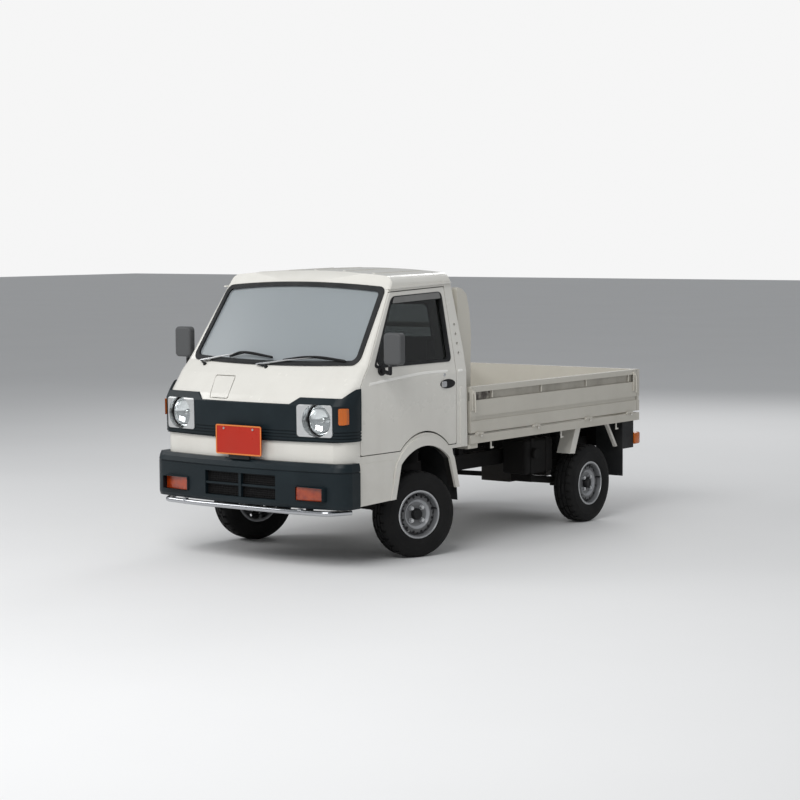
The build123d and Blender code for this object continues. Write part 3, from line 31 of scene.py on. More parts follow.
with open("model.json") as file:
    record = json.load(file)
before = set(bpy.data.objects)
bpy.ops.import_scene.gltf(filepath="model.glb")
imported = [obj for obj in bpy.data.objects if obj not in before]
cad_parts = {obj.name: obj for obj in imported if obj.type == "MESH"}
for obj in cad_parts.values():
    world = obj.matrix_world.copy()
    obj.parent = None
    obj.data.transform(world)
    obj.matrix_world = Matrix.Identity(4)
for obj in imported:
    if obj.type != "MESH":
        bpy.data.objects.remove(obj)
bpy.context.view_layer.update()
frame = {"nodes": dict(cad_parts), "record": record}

# Camera solved from the photograph
CAMERA_PLACE = (7.6659, -10.3554, 1.8358)
CAMERA_YAW = radians(36.77)
CAMERA_DIP = radians(4.55)
CAMERA_ROLL = radians(-0.30)
CAMERA_LENS = 95.17
CAMERA_SENSOR = 36.0
CAMERA_REACH = 200.0

SKY_SEEN = ((1, 1, 1, 1), 0.92)
SKY_LIGHT = ((0.95, 0.975, 1, 1), 0.37)
# Name, place, aim, size, power
PANELS = (
    ("key_panel", (1.6, -7.0, 6.2), (0, -0.5, 0.8), (6.0, 4.0), 450.0),
    ("left_panel", (7.0, 1.0, 4.5), (0, 0.4, 0.8), (4.0, 3.0), 25.0),
    ("far_panel", (-6.0, -4.0, 4.5), (0, -0.5, 0.8), (4.0, 3.0), 130.0),
    ("rear_panel", (-2.5, 8.5, 5.5), (0, 0.8, 0.8), (4.0, 3.0), 170.0),
)
FLOOR_SIZE = 60.0
FLOOR_TONES = ((0.80, 0.80, 0.80), (0.84, 0.84, 0.84))
SIDES = ((1, "left"), (-1, "right"))


def place_camera():
    ahead = Vector((-sin(CAMERA_YAW) * cos(CAMERA_DIP), cos(CAMERA_YAW) * cos(CAMERA_DIP), -sin(CAMERA_DIP)))
    flat_right = ahead.cross(Vector((0, 0, 1))).normalized()
    flat_up = flat_right.cross(ahead)
    right = flat_right * cos(CAMERA_ROLL) + flat_up * sin(CAMERA_ROLL)
    up = flat_up * cos(CAMERA_ROLL) - flat_right * sin(CAMERA_ROLL)
    data = bpy.data.cameras.new("photo_camera")
    data.lens = CAMERA_LENS
    data.sensor_width = CAMERA_SENSOR
    data.clip_end = CAMERA_REACH
    camera = bpy.data.objects.new("photo_camera", data)
    turn = Matrix((right, up, -ahead)).transposed().to_4x4()
    camera.matrix_world = Matrix.Translation(CAMERA_PLACE) @ turn
    bpy.context.collection.objects.link(camera)
    bpy.context.scene.camera = camera


def soft_box(name, place, aim, size, power):
    data = bpy.data.lights.new(name, "AREA")
    data.shape = "RECTANGLE"
    data.size, data.size_y = size
    data.energy = power
    lamp = bpy.data.objects.new(name, data)
    lamp.location = place
    lamp.rotation_euler = (Vector(aim) - Vector(place)).to_track_quat("-Z", "Y").to_euler()
    bpy.context.collection.objects.link(lamp)


def pale_world():
    """A sky that the camera sees pale and that lights the truck less."""
    world = bpy.data.worlds.new("pale_sky")
    world.use_nodes = True
    tree = world.node_tree
    tree.nodes.clear()
    out = tree.nodes.new("ShaderNodeOutputWorld")
    path = tree.nodes.new("ShaderNodeLightPath")
    mix = tree.nodes.new("ShaderNodeMixShader")
    tree.links.new(path.outputs["Is Camera Ray"], mix.inputs["Fac"])
    for socket, (colour, strength) in ((1, SKY_LIGHT), (2, SKY_SEEN)):
        sky = tree.nodes.new("ShaderNodeBackground")
        sky.inputs["Color"].default_value = colour
        sky.inputs["Strength"].default_value = strength
        tree.links.new(sky.outputs[0], mix.inputs[socket])
    tree.links.new(mix.outputs[0], out.inputs["Surface"])
    bpy.context.scene.world = world


# Finishes

COAT_ROUGHNESS = 0.12
# Sockets of the colour mix node
MIX_FACTOR, MIX_FIRST, MIX_SECOND = 0, 6, 7


class Finish:
    """A node material built up in steps on the object's own coordinates."""

    def __init__(self, name, rough=0.5, metal=0.0, coat=0.0, ior=1.5):
        self.material = bpy.data.materials.new(name)
        self.material.use_nodes = True
        self.tree = self.material.node_tree
        self.shader = self.tree.nodes["Principled BSDF"]
        for key, value in (("Roughness", rough), ("Metallic", metal), ("Coat Weight", coat),
                           ("Coat Roughness", COAT_ROUGHNESS), ("IOR", ior)):
            self.shader.inputs[key].default_value = value
        self.place = self.tree.nodes.new("ShaderNodeTexCoord").outputs["Object"]

    def node(self, kind, **sockets):
        made = self.tree.nodes.new(kind)
        for key, value in sockets.items():
            socket = made.inputs[key.replace("_", " ")]
            if hasattr(value, "links"):
                self.tree.links.new(value, socket)
            else:
                socket.default_value = value
        return made

    def axes(self):
        parts = self.node("ShaderNodeSeparateXYZ", Vector=self.place).outputs
        return parts["X"], parts["Y"], parts["Z"]

    def noise(self, scale, detail=3.0, stretch=None, rough=0.55):
        source = self.place
        if stretch:
            source = self.node("ShaderNodeMapping", Vector=source, Scale=stretch).outputs[0]
        made = self.node("ShaderNodeTexNoise", Vector=source, Scale=scale, Detail=detail, Roughness=rough)
        return made.outputs["Fac"]

    def ramp(self, value, low, high):
        """Black at the low value and under, white at the high one and over."""
        made = self.node("ShaderNodeValToRGB", Fac=value)
        made.color_ramp.elements[0].position = low
        made.color_ramp.elements[1].position = high
        return made.outputs["Color"]

    def math(self, operation, first, second=0.5, third=0.0, clamp=False):
        made = self.tree.nodes.new("ShaderNodeMath")
        made.operation = operation
        made.use_clamp = clamp
        for index, value in enumerate((first, second, third)):
            if hasattr(value, "links"):
                self.tree.links.new(value, made.inputs[index])
            else:
                made.inputs[index].default_value = value
        return made.outputs[0]

    def height(self, low, high):
        """1 at the low height and under, 0 at the high one and over."""
        made = self.node("ShaderNodeMapRange", Value=self.axes()[2])
        for key, value in (("From Min", low), ("From Max", high), ("To Min", 1.0), ("To Max", 0.0)):
            made.inputs[key].default_value = value
        return made.outputs[0]

    def blend(self, factor, first, second, mode="MIX"):
        made = self.tree.nodes.new("ShaderNodeMix")
        made.data_type = "RGBA"
        made.blend_type = mode
        for socket, value in ((MIX_FACTOR, factor), (MIX_FIRST, first), (MIX_SECOND, second)):
            if hasattr(value, "links"):
                self.tree.links.new(value, made.inputs[socket])
            else:
                made.inputs[socket].default_value = value if socket == MIX_FACTOR else (*value, 1.0)
        return made.outputs[2]

    def colour(self, value):
        self.tree.links.new(value, self.shader.inputs["Base Color"])

    def roughness(self, value, low, high):
        made = self.node("ShaderNodeMapRange", Value=value)
        made.inputs["To Min"].default_value = low
        made.inputs["To Max"].default_value = high
        self.tree.links.new(made.outputs[0], self.shader.inputs["Roughness"])

    def bump(self, value, strength, depth):
        made = self.node("ShaderNodeBump", Height=value, Strength=strength, Distance=depth)
        self.tree.links.new(made.outputs["Normal"], self.shader.inputs["Normal"])


def painted(name, base, dust, low, high, grime=0.55, rough=(0.22, 0.42), coat=0.35, gloss=0.5, mask=None):
    """Enamel with faint mottling, a peel in the gloss and road dust that thickens downwards."""
    finish = Finish(name, coat=coat)
    finish.shader.inputs["Specular IOR Level"].default_value = gloss
    mottled = finish.blend(finish.ramp(finish.noise(2.3, 5.0), 0.35, 0.72), base, [c * 0.965 for c in base])
    streaks = finish.ramp(finish.noise(9.0, 6.0, stretch=(1.0, 1.0, 0.16)), 0.48, 0.78)
    mottled = finish.blend(finish.math("MULTIPLY", streaks, 0.07), mottled, dust)
    spread = finish.math("MULTIPLY", finish.height(low, high), finish.noise(5.0, 7.0, rough=0.65), clamp=True)
    colour = finish.blend(finish.math("MULTIPLY", spread, grime), mottled, dust)
    finish.colour(mask(finish, colour) if mask else colour)
    finish.roughness(finish.math("ADD", spread, finish.math("MULTIPLY", finish.noise(14.0, 4.0), 0.4)), *rough)
    finish.bump(finish.noise(420.0, 2.0), 0.05, 0.0004)
    return finish.material


def moulded(name, base, faded, rough=(0.38, 0.62), grain=900.0, gloss=0.25):
    """Moulded plastic with a fine grain, chalky where it has faded."""
    finish = Finish(name)
    finish.shader.inputs["Specular IOR Level"].default_value = gloss
    chalk = finish.ramp(finish.noise(6.0, 6.0, rough=0.6), 0.42, 0.8)
    finish.colour(finish.blend(finish.math("MULTIPLY", chalk, 0.6), base, faded))
    finish.roughness(finish.noise(11.0, 4.0), *rough)
    finish.bump(finish.noise(grain, 2.0), 0.12, 0.0004)
    return finish.material


def metal(name, base, rough, worn, peel=0.05):
    """Bare or plated metal, darker where it is stained."""
    finish = Finish(name, metal=1.0)
    stain = finish.ramp(finish.noise(26.0, 6.0), 0.5, 0.85)
    finish.colour(finish.blend(finish.math("MULTIPLY", stain, worn), base, [c * 0.45 for c in base]))
    finish.roughness(finish.noise(34.0, 5.0), *rough)
    if peel:
        finish.bump(finish.noise(260.0, 2.0), peel, 0.0003)
    return finish.material


WINDSCREEN_END_Y = -0.9
MARKER_LOW_Z = 0.7
FLUTES = 700.0


def clear_glass(name, tint, haze=None, milk=0.0):
    """Clear glass. A hazed pane turns milky and pale on the windscreen, and not on the rear window."""
    finish = Finish(name, rough=0.0, ior=1.45)
    finish.shader.inputs["Transmission Weight"].default_value = 1.0
    smear = finish.ramp(finish.noise(3.0, 5.0), 0.4, 0.8)
    colour = finish.blend(finish.math("MULTIPLY", smear, 0.15), tint, [c * 0.85 for c in tint])
    if haze:
        front = finish.math("LESS_THAN", finish.axes()[1], WINDSCREEN_END_Y)
        colour = finish.blend(front, colour, haze)
        clear = finish.math("SUBTRACT", 1.0, finish.math("MULTIPLY", front, milk))
        finish.tree.links.new(clear, finish.shader.inputs["Transmission Weight"])
        finish.roughness(front, 0.02, 0.30)
    else:
        finish.roughness(finish.noise(5.0, 3.0), 0.0, 0.04)
    finish.colour(colour)
    return finish.material


def lens_plastic(name, base, deep, upper=None):
    """Fluted lens. The markers and the tail's corner lenses may take a colour of their own."""
    finish = Finish(name, rough=0.12, ior=1.49)
    finish.shader.inputs["Transmission Weight"].default_value = 0.35
    finish.shader.inputs["Coat Weight"].default_value = 0.5
    x, y, z = finish.axes()
    flutes = finish.math("SINE", finish.math("MULTIPLY", x, FLUTES))
    colour = finish.blend(finish.ramp(finish.noise(30.0, 3.0), 0.3, 0.8), base, deep)
    if upper:
        high = finish.math("GREATER_THAN", z, MARKER_LOW_Z)
        marker = finish.math("MAXIMUM", high, finish.math("GREATER_THAN", y, 1.0))
        colour = finish.blend(marker, colour, upper)
    finish.colour(colour)
    finish.bump(flutes, 0.25, 0.0008)
    return finish.material


IVORY = (0.735, 0.719, 0.670)
# The body's ivory darkened for the bed, its gates and the guard frame: painted shade
BED_SHADED_IVORY = (0.610, 0.585, 0.520)
ROAD_DUST = (0.330, 0.300, 0.250)
# Black of the painted shade inside the wheel arches
ARCH_SHADE_BLACK = (0.012, 0.011, 0.010)
HEAD_GREY = (0.088, 0.090, 0.092)
HEAD_LOW_Z = 1.105

# Inner face of the cab's side, its spread per metre aft, and the arch's top and front, which bound the painted shade in
# the wheel arch
ARCH_SHADE_X, ARCH_SHADE_SPREAD, ARCH_SHADE_TOP_Z, ARCH_SHADE_FRONT_Y = 0.6945, 0.030, 0.665, -1.12


def arch_painted_shade(finish, colour):
    """Painted shade: black wherever the cab's side is inside its own skin round the wheel arch, where the arch's inside
    lies in shade.
    """
    x, y, z = finish.axes()
    inside = finish.math("SUBTRACT", finish.math("ABSOLUTE", x), finish.math("MULTIPLY", y, ARCH_SHADE_SPREAD))
    inside = finish.math("LESS_THAN", inside, ARCH_SHADE_X)
    low = finish.math("LESS_THAN", z, ARCH_SHADE_TOP_Z)
    back = finish.math("GREATER_THAN", y, ARCH_SHADE_FRONT_Y)
    return finish.blend(finish.math("MULTIPLY", finish.math("MULTIPLY", low, back), inside), colour, ARCH_SHADE_BLACK)


SLOT_FLOOR = (0.681, 0.6865)
SLOT_Z = (0.857, 0.907)
SLOT_END_Y = 1.525
RUST_END_Y = -0.130
# Colour of the slot's floor: painted shade in the recess, together with dirt
SLOT_SHADE_AND_DIRT = (0.20, 0.18, 0.145)
SLOT_RUST = (0.050, 0.038, 0.030)


def slot_shade_and_dirt(finish, colour):
    """Darker colour on the floor of the side gate's rope slot, painted shade in the recess together with dirt, rusty at
    its front end.
    """
    x, y, z = finish.axes()
    x = finish.math("ABSOLUTE", x)
    floor = finish.math("GREATER_THAN", x, SLOT_FLOOR[0])
    for kind, value, limit in (("LESS_THAN", x, SLOT_FLOOR[1]), ("GREATER_THAN", z, SLOT_Z[0]),
                               ("LESS_THAN", z, SLOT_Z[1]), ("LESS_THAN", y, SLOT_END_Y)):
        floor = finish.math("MULTIPLY", floor, finish.math(kind, value, limit))
    cover = finish.math("MULTIPLY_ADD", finish.ramp(finish.noise(7.0, 6.0), 0.42, 0.70), 0.30, 0.42)
    colour = finish.blend(finish.math("MULTIPLY", floor, cover), colour, SLOT_SHADE_AND_DIRT)
    patch = finish.math("MULTIPLY", floor, finish.math("LESS_THAN", y, RUST_END_Y))
    rust = finish.ramp(finish.noise(16.0, 6.0), 0.30, 0.54)
    return finish.blend(finish.math("MULTIPLY", patch, rust), colour, SLOT_RUST)


WHEEL_CENTRES = {"fl": (0.575, -0.776, 0.245), "fr": (-0.575, -0.776, 0.245), "rl": (0.605, 1.013, 0.245),
                 "rr": (-0.605, 1.013, 0.245)}
PARKED_STEER = radians(-20.0)
# Tone of the wheel by distance from its axle, in fifths of a metre: painted shade where the tone is under 1, painted
# highlights on the flange and a ring round the nuts left at 1
WHEEL_SHADE_TONES = ((0.22, 0.25), (0.335, 0.40), (0.36, 1.0), (0.40, 1.0), (0.43, 0.22), (0.56, 0.18), (0.60, 0.40),
               (0.635, 0.45), (0.655, 1.0), (0.69, 1.0))


def wheel_painted_shade(corner):
    """Painted light by distance from the axle: a bright flange and a bright ring round the nuts as painted highlights,
    painted shade elsewhere, darkest in the well and over the vents.
    """
    axle = (cos(PARKED_STEER), sin(PARKED_STEER), 0.0) if corner[0] == "f" else (1.0, 0.0, 0.0)

    def shade(finish, colour):
        source = finish.place
        for operation, value in (("SUBTRACT", WHEEL_CENTRES[corner]), ("CROSS_PRODUCT", axle), ("LENGTH", None)):
            step = finish.tree.nodes.new("ShaderNodeVectorMath")
            step.operation = operation
            finish.tree.links.new(source, step.inputs[0])
            if value:
                step.inputs[1].default_value = value
            source = step.outputs["Value" if operation == "LENGTH" else "Vector"]
        rings = finish.node("ShaderNodeValToRGB", Fac=finish.math("MULTIPLY", source, 5.0))
        ramp = rings.color_ramp
        for place, tone in WHEEL_SHADE_TONES:
            stop = ramp.elements.new(place)
            stop.color = (tone, tone, tone * 1.02, 1.0)
        ramp.elements.remove(ramp.elements[0])
        ramp.elements.remove(ramp.elements[-1])
        return finish.blend(1.0, colour, rings.outputs["Color"], mode="MULTIPLY")
    return shade


def grey_head(finish, colour):
    """The mirror's head is greyer than its arm."""
    return finish.blend(finish.math("GREATER_THAN", finish.axes()[2], HEAD_LOW_Z), colour, HEAD_GREY)


paint = painted("ivory_enamel", IVORY, ROAD_DUST, 0.30, 0.95)
# The cab's sides take painted shade inside their wheel arches
side_paint = painted("cab_side_enamel", IVORY, ROAD_DUST, 0.30, 0.95, mask=arch_painted_shade)
# The crease is painted lighter than the body, a painted highlight along it
crease_highlight_paint = painted("crease_highlight_enamel", (0.90, 0.89, 0.85), IVORY, 0.30, 0.95, grime=0.1)
# The bed's enamel is a darkened copy of the body's, painted shade
bed_shaded_paint = painted("bed_shaded_enamel", BED_SHADED_IVORY, ROAD_DUST, 0.55, 1.2, grime=0.45, rough=(0.32, 0.55), coat=0.1)
gate_shaded_paint = painted("gate_shaded_enamel", BED_SHADED_IVORY, ROAD_DUST, 0.55, 1.2, grime=0.45, rough=(0.32, 0.55), coat=0.1,
                     mask=slot_shade_and_dirt)
slate = moulded("slate_moulding", (0.0055, 0.0115, 0.0150), (0.0125, 0.0215, 0.0265), rough=(0.30, 0.50))
black_trim = moulded("black_moulding", (0.008, 0.008, 0.009), (0.022, 0.022, 0.022))
# The cabin's mouldings are darkened, painted shade inside the cab
cabin = moulded("cabin_moulding_shaded", (0.030, 0.028, 0.026), (0.045, 0.041, 0.037), rough=(0.5, 0.7))
rubber = moulded("seal_rubber", (0.014, 0.015, 0.016), (0.045, 0.045, 0.045), rough=(0.45, 0.75), grain=500.0)
underside = painted("chassis_black", (0.0075, 0.0075, 0.0078), (0.036, 0.031, 0.026), 0.1, 0.8, grime=0.4,
                    rough=(0.60, 0.85), coat=0.0, gloss=0.15)
casting = painted("plain_casting", (0.045, 0.044, 0.043), (0.075, 0.062, 0.050), 0.1, 0.7, rough=(0.6, 0.85),
                  coat=0.0, gloss=0.2)
# The wheels' enamel carries painted shade and highlights by distance from the axle
wheel_paints = {corner: painted("wheel_enamel_" + corner, (0.42, 0.43, 0.44), (0.12, 0.11, 0.10), 0.0, 0.5,
                                grime=0.35, rough=(0.24, 0.42), coat=0.2, mask=wheel_painted_shade(corner))
                for corner in WHEEL_CENTRES}
mirror_shell = painted("mirror_housing", (0.012, 0.012, 0.013), (0.03, 0.03, 0.03), 0.9, 1.0, grime=0.0,
                       rough=(0.45, 0.6), coat=0.0, gloss=0.2, mask=grey_head)
chrome = metal("bright_chrome", (0.66, 0.67, 0.69), (0.20, 0.34), 0.35)
rail_chrome = metal("rail_chrome", (0.50, 0.51, 0.53), (0.16, 0.24), 0.15, peel=0.0)
silver = metal("silver_bezel", (0.74, 0.75, 0.75), (0.30, 0.46), 0.2)
screen_glass = clear_glass("screen_glass", (0.45, 0.50, 0.50), haze=(0.42, 0.46, 0.48), milk=0.60)
# The side glass is tinted dark, painted shade over the cab seen through it
side_glass_painted_shade = clear_glass("side_glass_painted_shade", (0.20, 0.215, 0.21))
tyre_rubber = moulded("tyre_rubber", (0.0050, 0.0050, 0.0052), (0.0125, 0.0120, 0.0115), rough=(0.6, 0.85),
                      grain=300.0)
bright_steel = metal("bright_steel", (0.60, 0.61, 0.62), (0.22, 0.42), 0.5)
rust_steel = metal("rusty_steel", (0.20, 0.15, 0.12), (0.5, 0.8), 0.9)
lamp_mirror = metal("lamp_mirror", (0.86, 0.87, 0.88), (0.03, 0.10), 0.05)
mirror_silver = metal("mirror_silver", (0.80, 0.82, 0.83), (0.01, 0.03), 0.02)
lamp_glass = clear_glass("lamp_glass", (0.92, 0.94, 0.94))
amber = lens_plastic("amber_lens", (0.58, 0.075, 0.006), (0.30, 0.020, 0.004), (0.74, 0.170, 0.012))
red_lens = lens_plastic("red_lens", (0.52, 0.02, 0.012), (0.30, 0.01, 0.006))
milk_lens = lens_plastic("milk_lens", (0.70, 0.70, 0.68), (0.55, 0.55, 0.52))
plate_orange = painted("plate_orange", (0.70, 0.20, 0.035), (0.40, 0.13, 0.05), 0.3, 0.9, grime=0.2, coat=0.2)
visor_cloth = moulded("visor_cloth", (0.35, 0.33, 0.29), (0.42, 0.40, 0.36), rough=(0.6, 0.8))
plate_red = painted("plate_red", (0.44, 0.022, 0.010), (0.26, 0.05, 0.03), 0.3, 0.9, grime=0.2, coat=0.1, gloss=0.25)
smoke = moulded("smoked_strip", (0.17, 0.17, 0.165), (0.24, 0.24, 0.235), rough=(0.15, 0.3), gloss=0.5)
seat_cloth = moulded("seat_cloth", (0.06, 0.055, 0.05), (0.09, 0.08, 0.075), rough=(0.7, 0.9), grain=700.0)

SLOT_FINISH = {
    "ivory_paint": paint, "slate_plastic": slate, "black_paint": underside, "raw_casting": casting,
    "clear_glass": side_glass_painted_shade, "seal_rubber": rubber, "silver_bezel": silver, "amber_lens": amber,
    "bright_chrome": chrome, "plate_red": plate_red, "arm_black": black_trim, "cabin_grey": cabin,
    "seat_vinyl": seat_cloth, "tyre_rubber": tyre_rubber, "wheel_silver": wheel_paints["fl"],
}
NODE_FINISH = {"rim_" + corner: made for corner, made in wheel_paints.items()}
for nodes, made in (
    (("bed_deck", "guard_frame", "bed_headboard", "bed_beams"), bed_shaded_paint),
    (("side_gate_left", "side_gate_right", "tailgate"), gate_shaded_paint),
    (("cab_side_left", "cab_side_right"), side_paint),
    (("door_mirror_left", "door_mirror_right"), mirror_shell),
    (("interior_mirror",), visor_cloth),
    (("headlamp_lenses",), lamp_glass),
    (("cab_glass",), screen_glass),
):
    NODE_FINISH.update(dict.fromkeys(nodes, made))


def dress_nodes():
    """Each CAD node gets its finish, by its own name or else by its material slot."""
    for part in frame["record"]["subparts"]:
        obj = frame["nodes"][part["node"]]
        obj.data.materials.clear()
        obj.data.materials.append(NODE_FINISH.get(part["node"], SLOT_FINISH[part["material_slot"]]))


# Making pieces

WELD = 0.00001


def finished(name, work, finish, body="chassis", sharp=38.0):
    """Hand a modelled shape over as a piece that rides on a body."""
    bmesh.ops.remove_doubles(work, verts=work.verts, dist=WELD)
    bmesh.ops.recalc_face_normals(work, faces=work.faces)
    for face in work.faces:
        face.smooth = True
    for edge in work.edges:
        edge.smooth = len(edge.link_faces) == 2 and edge.calc_face_angle() < radians(sharp)
    mesh = bpy.data.meshes.new(name)
    work.to_mesh(mesh)
    work.free()
    mesh.materials.append(finish)
    piece = bpy.data.objects.new(name, mesh)
    bpy.context.collection.objects.link(piece)
    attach(piece, body)
    return piece


def added(work, before):
    """The vertices made since a set of them was noted."""
    return [vert for vert in work.verts if vert not in before]


def faces_of(verts):
    return list({face for vert in verts for face in vert.link_faces})


def deepened(work, faces, depth):
    """Flat faces given a depth along Y, and the vertices at its end."""
    made = bmesh.ops.extrude_face_region(work, geom=faces)["geom"]
    ends = [item for item in made if isinstance(item, bmesh.types.BMVert)]
    bmesh.ops.translate(work, vec=(0, depth, 0), verts=ends)
    return ends


def span(side, inner, outer):
    """The low and high X of two distances on one side of the truck."""
    return sorted((side * inner, side * outer))


def about(middle, half):
    return middle - half, middle + half


def placed(place, degrees=0.0, axis="Z"):
    """A turn about an axis at a place."""
    return Matrix.Translation(place) @ Matrix.Rotation(radians(degrees), 4, axis)


def facing(way):
    """A turn that lays X along a way."""
    return way.to_track_quat("X", "Z").to_matrix().to_4x4()


def brick(work, xs, ys, zs, bevel):
    """A block with rounded edges between two places on each axis."""
    before = set(work.verts)
    made = bmesh.ops.create_cube(work, size=1.0)["verts"]
    bmesh.ops.scale(work, vec=[high - low for low, high in (xs, ys, zs)], verts=made)
    bmesh.ops.translate(work, vec=[(low + high) / 2 for low, high in (xs, ys, zs)], verts=made)
    edges = list({edge for vert in made for edge in vert.link_edges})
    bmesh.ops.bevel(work, geom=edges, offset=bevel, offset_type="OFFSET", segments=2, profile=0.5,
                    affect="EDGES", material=-1)
    return added(work, before)


def turned(work, profile, place=Matrix(), steps=48, ring=False):
    """A profile of (along, radius) spun about X, then placed. A ring's profile runs back to its start."""
    before = set(work.verts)
    points = [work.verts.new((along, radius, 0.0)) for along, radius in profile]
    links = list(zip(points, points[1:] + points[:1] if ring else points[1:]))
    edges = [work.edges.new(link) for link in links]
    bmesh.ops.spin(work, geom=points + edges, cent=(0, 0, 0), axis=(1, 0, 0), angle=2 * pi, steps=steps,
                   use_merge=True, use_duplicate=False)
    made = added(work, before)
    bmesh.ops.transform(work, matrix=place, verts=made)
    return made


def tube(work, route, radius):
    """A round bar with capped ends along a smooth route."""
    before = set(work.verts)
    curve = bpy.data.curves.new("route", "CURVE")
    curve.dimensions = "3D"
    curve.bevel_depth = radius
    curve.bevel_resolution = 3
    curve.use_fill_caps = True
    curve.resolution_u = 5
    spline = curve.splines.new("NURBS")
    spline.points.add(len(route) - 1)
    for point, place in zip(spline.points, route):
        point.co = (*place, 1.0)
    spline.order_u = 3
    spline.use_endpoint_u = True
    holder = bpy.data.objects.new("route", curve)
    mesh = bpy.data.meshes.new_from_object(holder)
    work.from_mesh(mesh)
    bpy.data.objects.remove(holder)
    bpy.data.curves.remove(curve)
    bpy.data.meshes.remove(mesh)
    return added(work, before)


def plate(work, outline, radius=0.004, depth=0.002, hole=None, place=Matrix()):
    """A flat outline with rounded corners, in X and Z, given a depth along +Y. A hole leaves a band so wide."""
    before = set(work.verts)
    face = work.faces.new([work.verts.new((x, 0.0, z)) for x, z in outline])
    if radius:
        bmesh.ops.bevel(work, geom=list(face.verts), offset=radius, segments=5, profile=0.5,
                        affect="VERTICES", material=-1)
    faces = faces_of(added(work, before))
    if hole:
        bmesh.ops.inset_region(work, faces=faces, thickness=hole, use_boundary=True, use_even_offset=True)
        bmesh.ops.delete(work, geom=faces, context="FACES_ONLY")
        faces = faces_of(added(work, before))
    deepened(work, faces, depth)
    made = added(work, before)
    bmesh.ops.transform(work, matrix=place, verts=made)
    return made


def rect(x0, x1, z0, z1):
    return [(x0, z0), (x1, z0), (x1, z1), (x0, z1)]


SKINS = {}


def hit(node, origin, toward):
    """Where a ray first meets a CAD node, and the way that the skin faces there."""
    if node not in SKINS:
        mesh = frame["nodes"][node].data
        SKINS[node] = BVHTree.FromPolygons([v.co for v in mesh.vertices], [p.vertices for p in mesh.polygons])
    return SKINS[node].ray_cast(Vector(origin), Vector(toward).normalized())[:2]


def on_skin(node, origin, toward):
    """A place on a CAD node's skin whose own -Y points out of it and whose Z stays up."""
    spot, normal = hit(node, origin, toward)
    if normal.dot(Vector(toward)) > 0:
        normal = -normal
    right = Vector((0, 0, 1)).cross(-normal).normalized() if abs(normal.z) < 0.95 else Vector((1, 0, 0))
    turn = Matrix((right, -normal, right.cross(-normal))).transposed().to_4x4()
    return placed(spot) @ turn


# Wheels

WHEELS = {"fl": 1, "fr": -1, "rl": 1, "rr": -1}
# Half of the tyre's section: reach from its middle, radius
TYRE_SECTION = (
    (-0.056, 0.1276), (-0.056, 0.1374), (-0.0625, 0.1378), (-0.0655, 0.143), (-0.0700, 0.160), (-0.0718, 0.176),
    (-0.0724, 0.190), (-0.0718, 0.1985), (-0.0722, 0.2005), (-0.0708, 0.2030), (-0.0694, 0.214), (-0.0650, 0.2265),
    (-0.0590, 0.2352), (-0.0545, 0.2398), (-0.0470, 0.2432), (-0.0330, 0.2444), (-0.0318, 0.2380), (-0.0262, 0.2380),
    (-0.0250, 0.2448), (-0.0045, 0.2449), (-0.0034, 0.2382),
)
TREAD_STEPS = 120
GROOVE_DEPTH = 0.0052
TREAD_RADIUS = 0.24
# Grooves on the shoulders and on the ribs: nearest and furthest reach, least radius, steps from one to the next
GROOVE_BANDS = ((0.0330, 0.0590, 0.236, 4), (0.0045, 0.0250, 0.243, 6))
KINGPIN_OFFSET = 0.030
NUTS = 4
NUT_CIRCLE = 0.050
VENTS = 12
VENT_CIRCLE = 0.1015


def wheel_place(corner):
    """The wheel's own frame, with X outwards along its axle."""
    flip = Matrix.Rotation(0.0 if WHEELS[corner] > 0 else pi, 4, "Z")
    centre = placed(WHEEL_CENTRES[corner])
    if corner[0] == "f":
        return centre @ Matrix.Rotation(PARKED_STEER, 4, "Z") @ flip @ placed((KINGPIN_OFFSET, 0, 0))
    return centre @ flip


def tyre(corner):
    """Tyre with its moulded sidewall, and grooves sunk across the tread and the shoulders."""
    work = bmesh.new()
    section = list(TYRE_SECTION) + [(-along, radius) for along, radius in reversed(TYRE_SECTION)]
    turned(work, section, steps=TREAD_STEPS, ring=True)
    bmesh.ops.remove_doubles(work, verts=work.verts, dist=WELD)
    grooves = []
    for face in work.faces:
        middle = face.calc_center_median()
        turn = int((atan2(middle.z, middle.y) / (2 * pi) % 1.0) * TREAD_STEPS)
        reach = abs(middle.x)
        shift = 2 if middle.x > 0 else 0
        if any(near < reach < far and middle.yz.length > least and (turn + shift) % every == 0
               for near, far, least, every in GROOVE_BANDS):
            grooves.append(face)
    for face in bmesh.ops.extrude_discrete_faces(work, faces=grooves)["faces"]:
        for vert in face.verts:
            vert.co.yz = vert.co.yz * (1.0 - GROOVE_DEPTH / TREAD_RADIUS)
    bmesh.ops.transform(work, matrix=wheel_place(corner), verts=work.verts)
    return finished("tyre_tread_" + corner, work, tyre_rubber, "wheel_" + corner, 30.0)


def hub_cap(corner):
    """Black hub cap, and the valve on the rim."""
    place = wheel_place(corner)
    work = bmesh.new()
    turned(work, [(0.0302, 0.0), (0.0302, 0.0335), (0.0385, 0.0330), (0.0400, 0.0312), (0.0500, 0.0300),
                  (0.0532, 0.0275), (0.0545, 0.0240), (0.0548, 0.0140), (0.0540, 0.0125), (0.0540, 0.0)], place, 40)
    turned(work, [(0.0, 0.0), (0.0, 0.0045), (0.022, 0.0045), (0.023, 0.0036), (0.031, 0.0036), (0.032, 0.0)],
           place @ placed((0.040, 0.113, 0.028)), 12)
    finished("hub_cap_" + corner, work, black_trim, "wheel_" + corner)


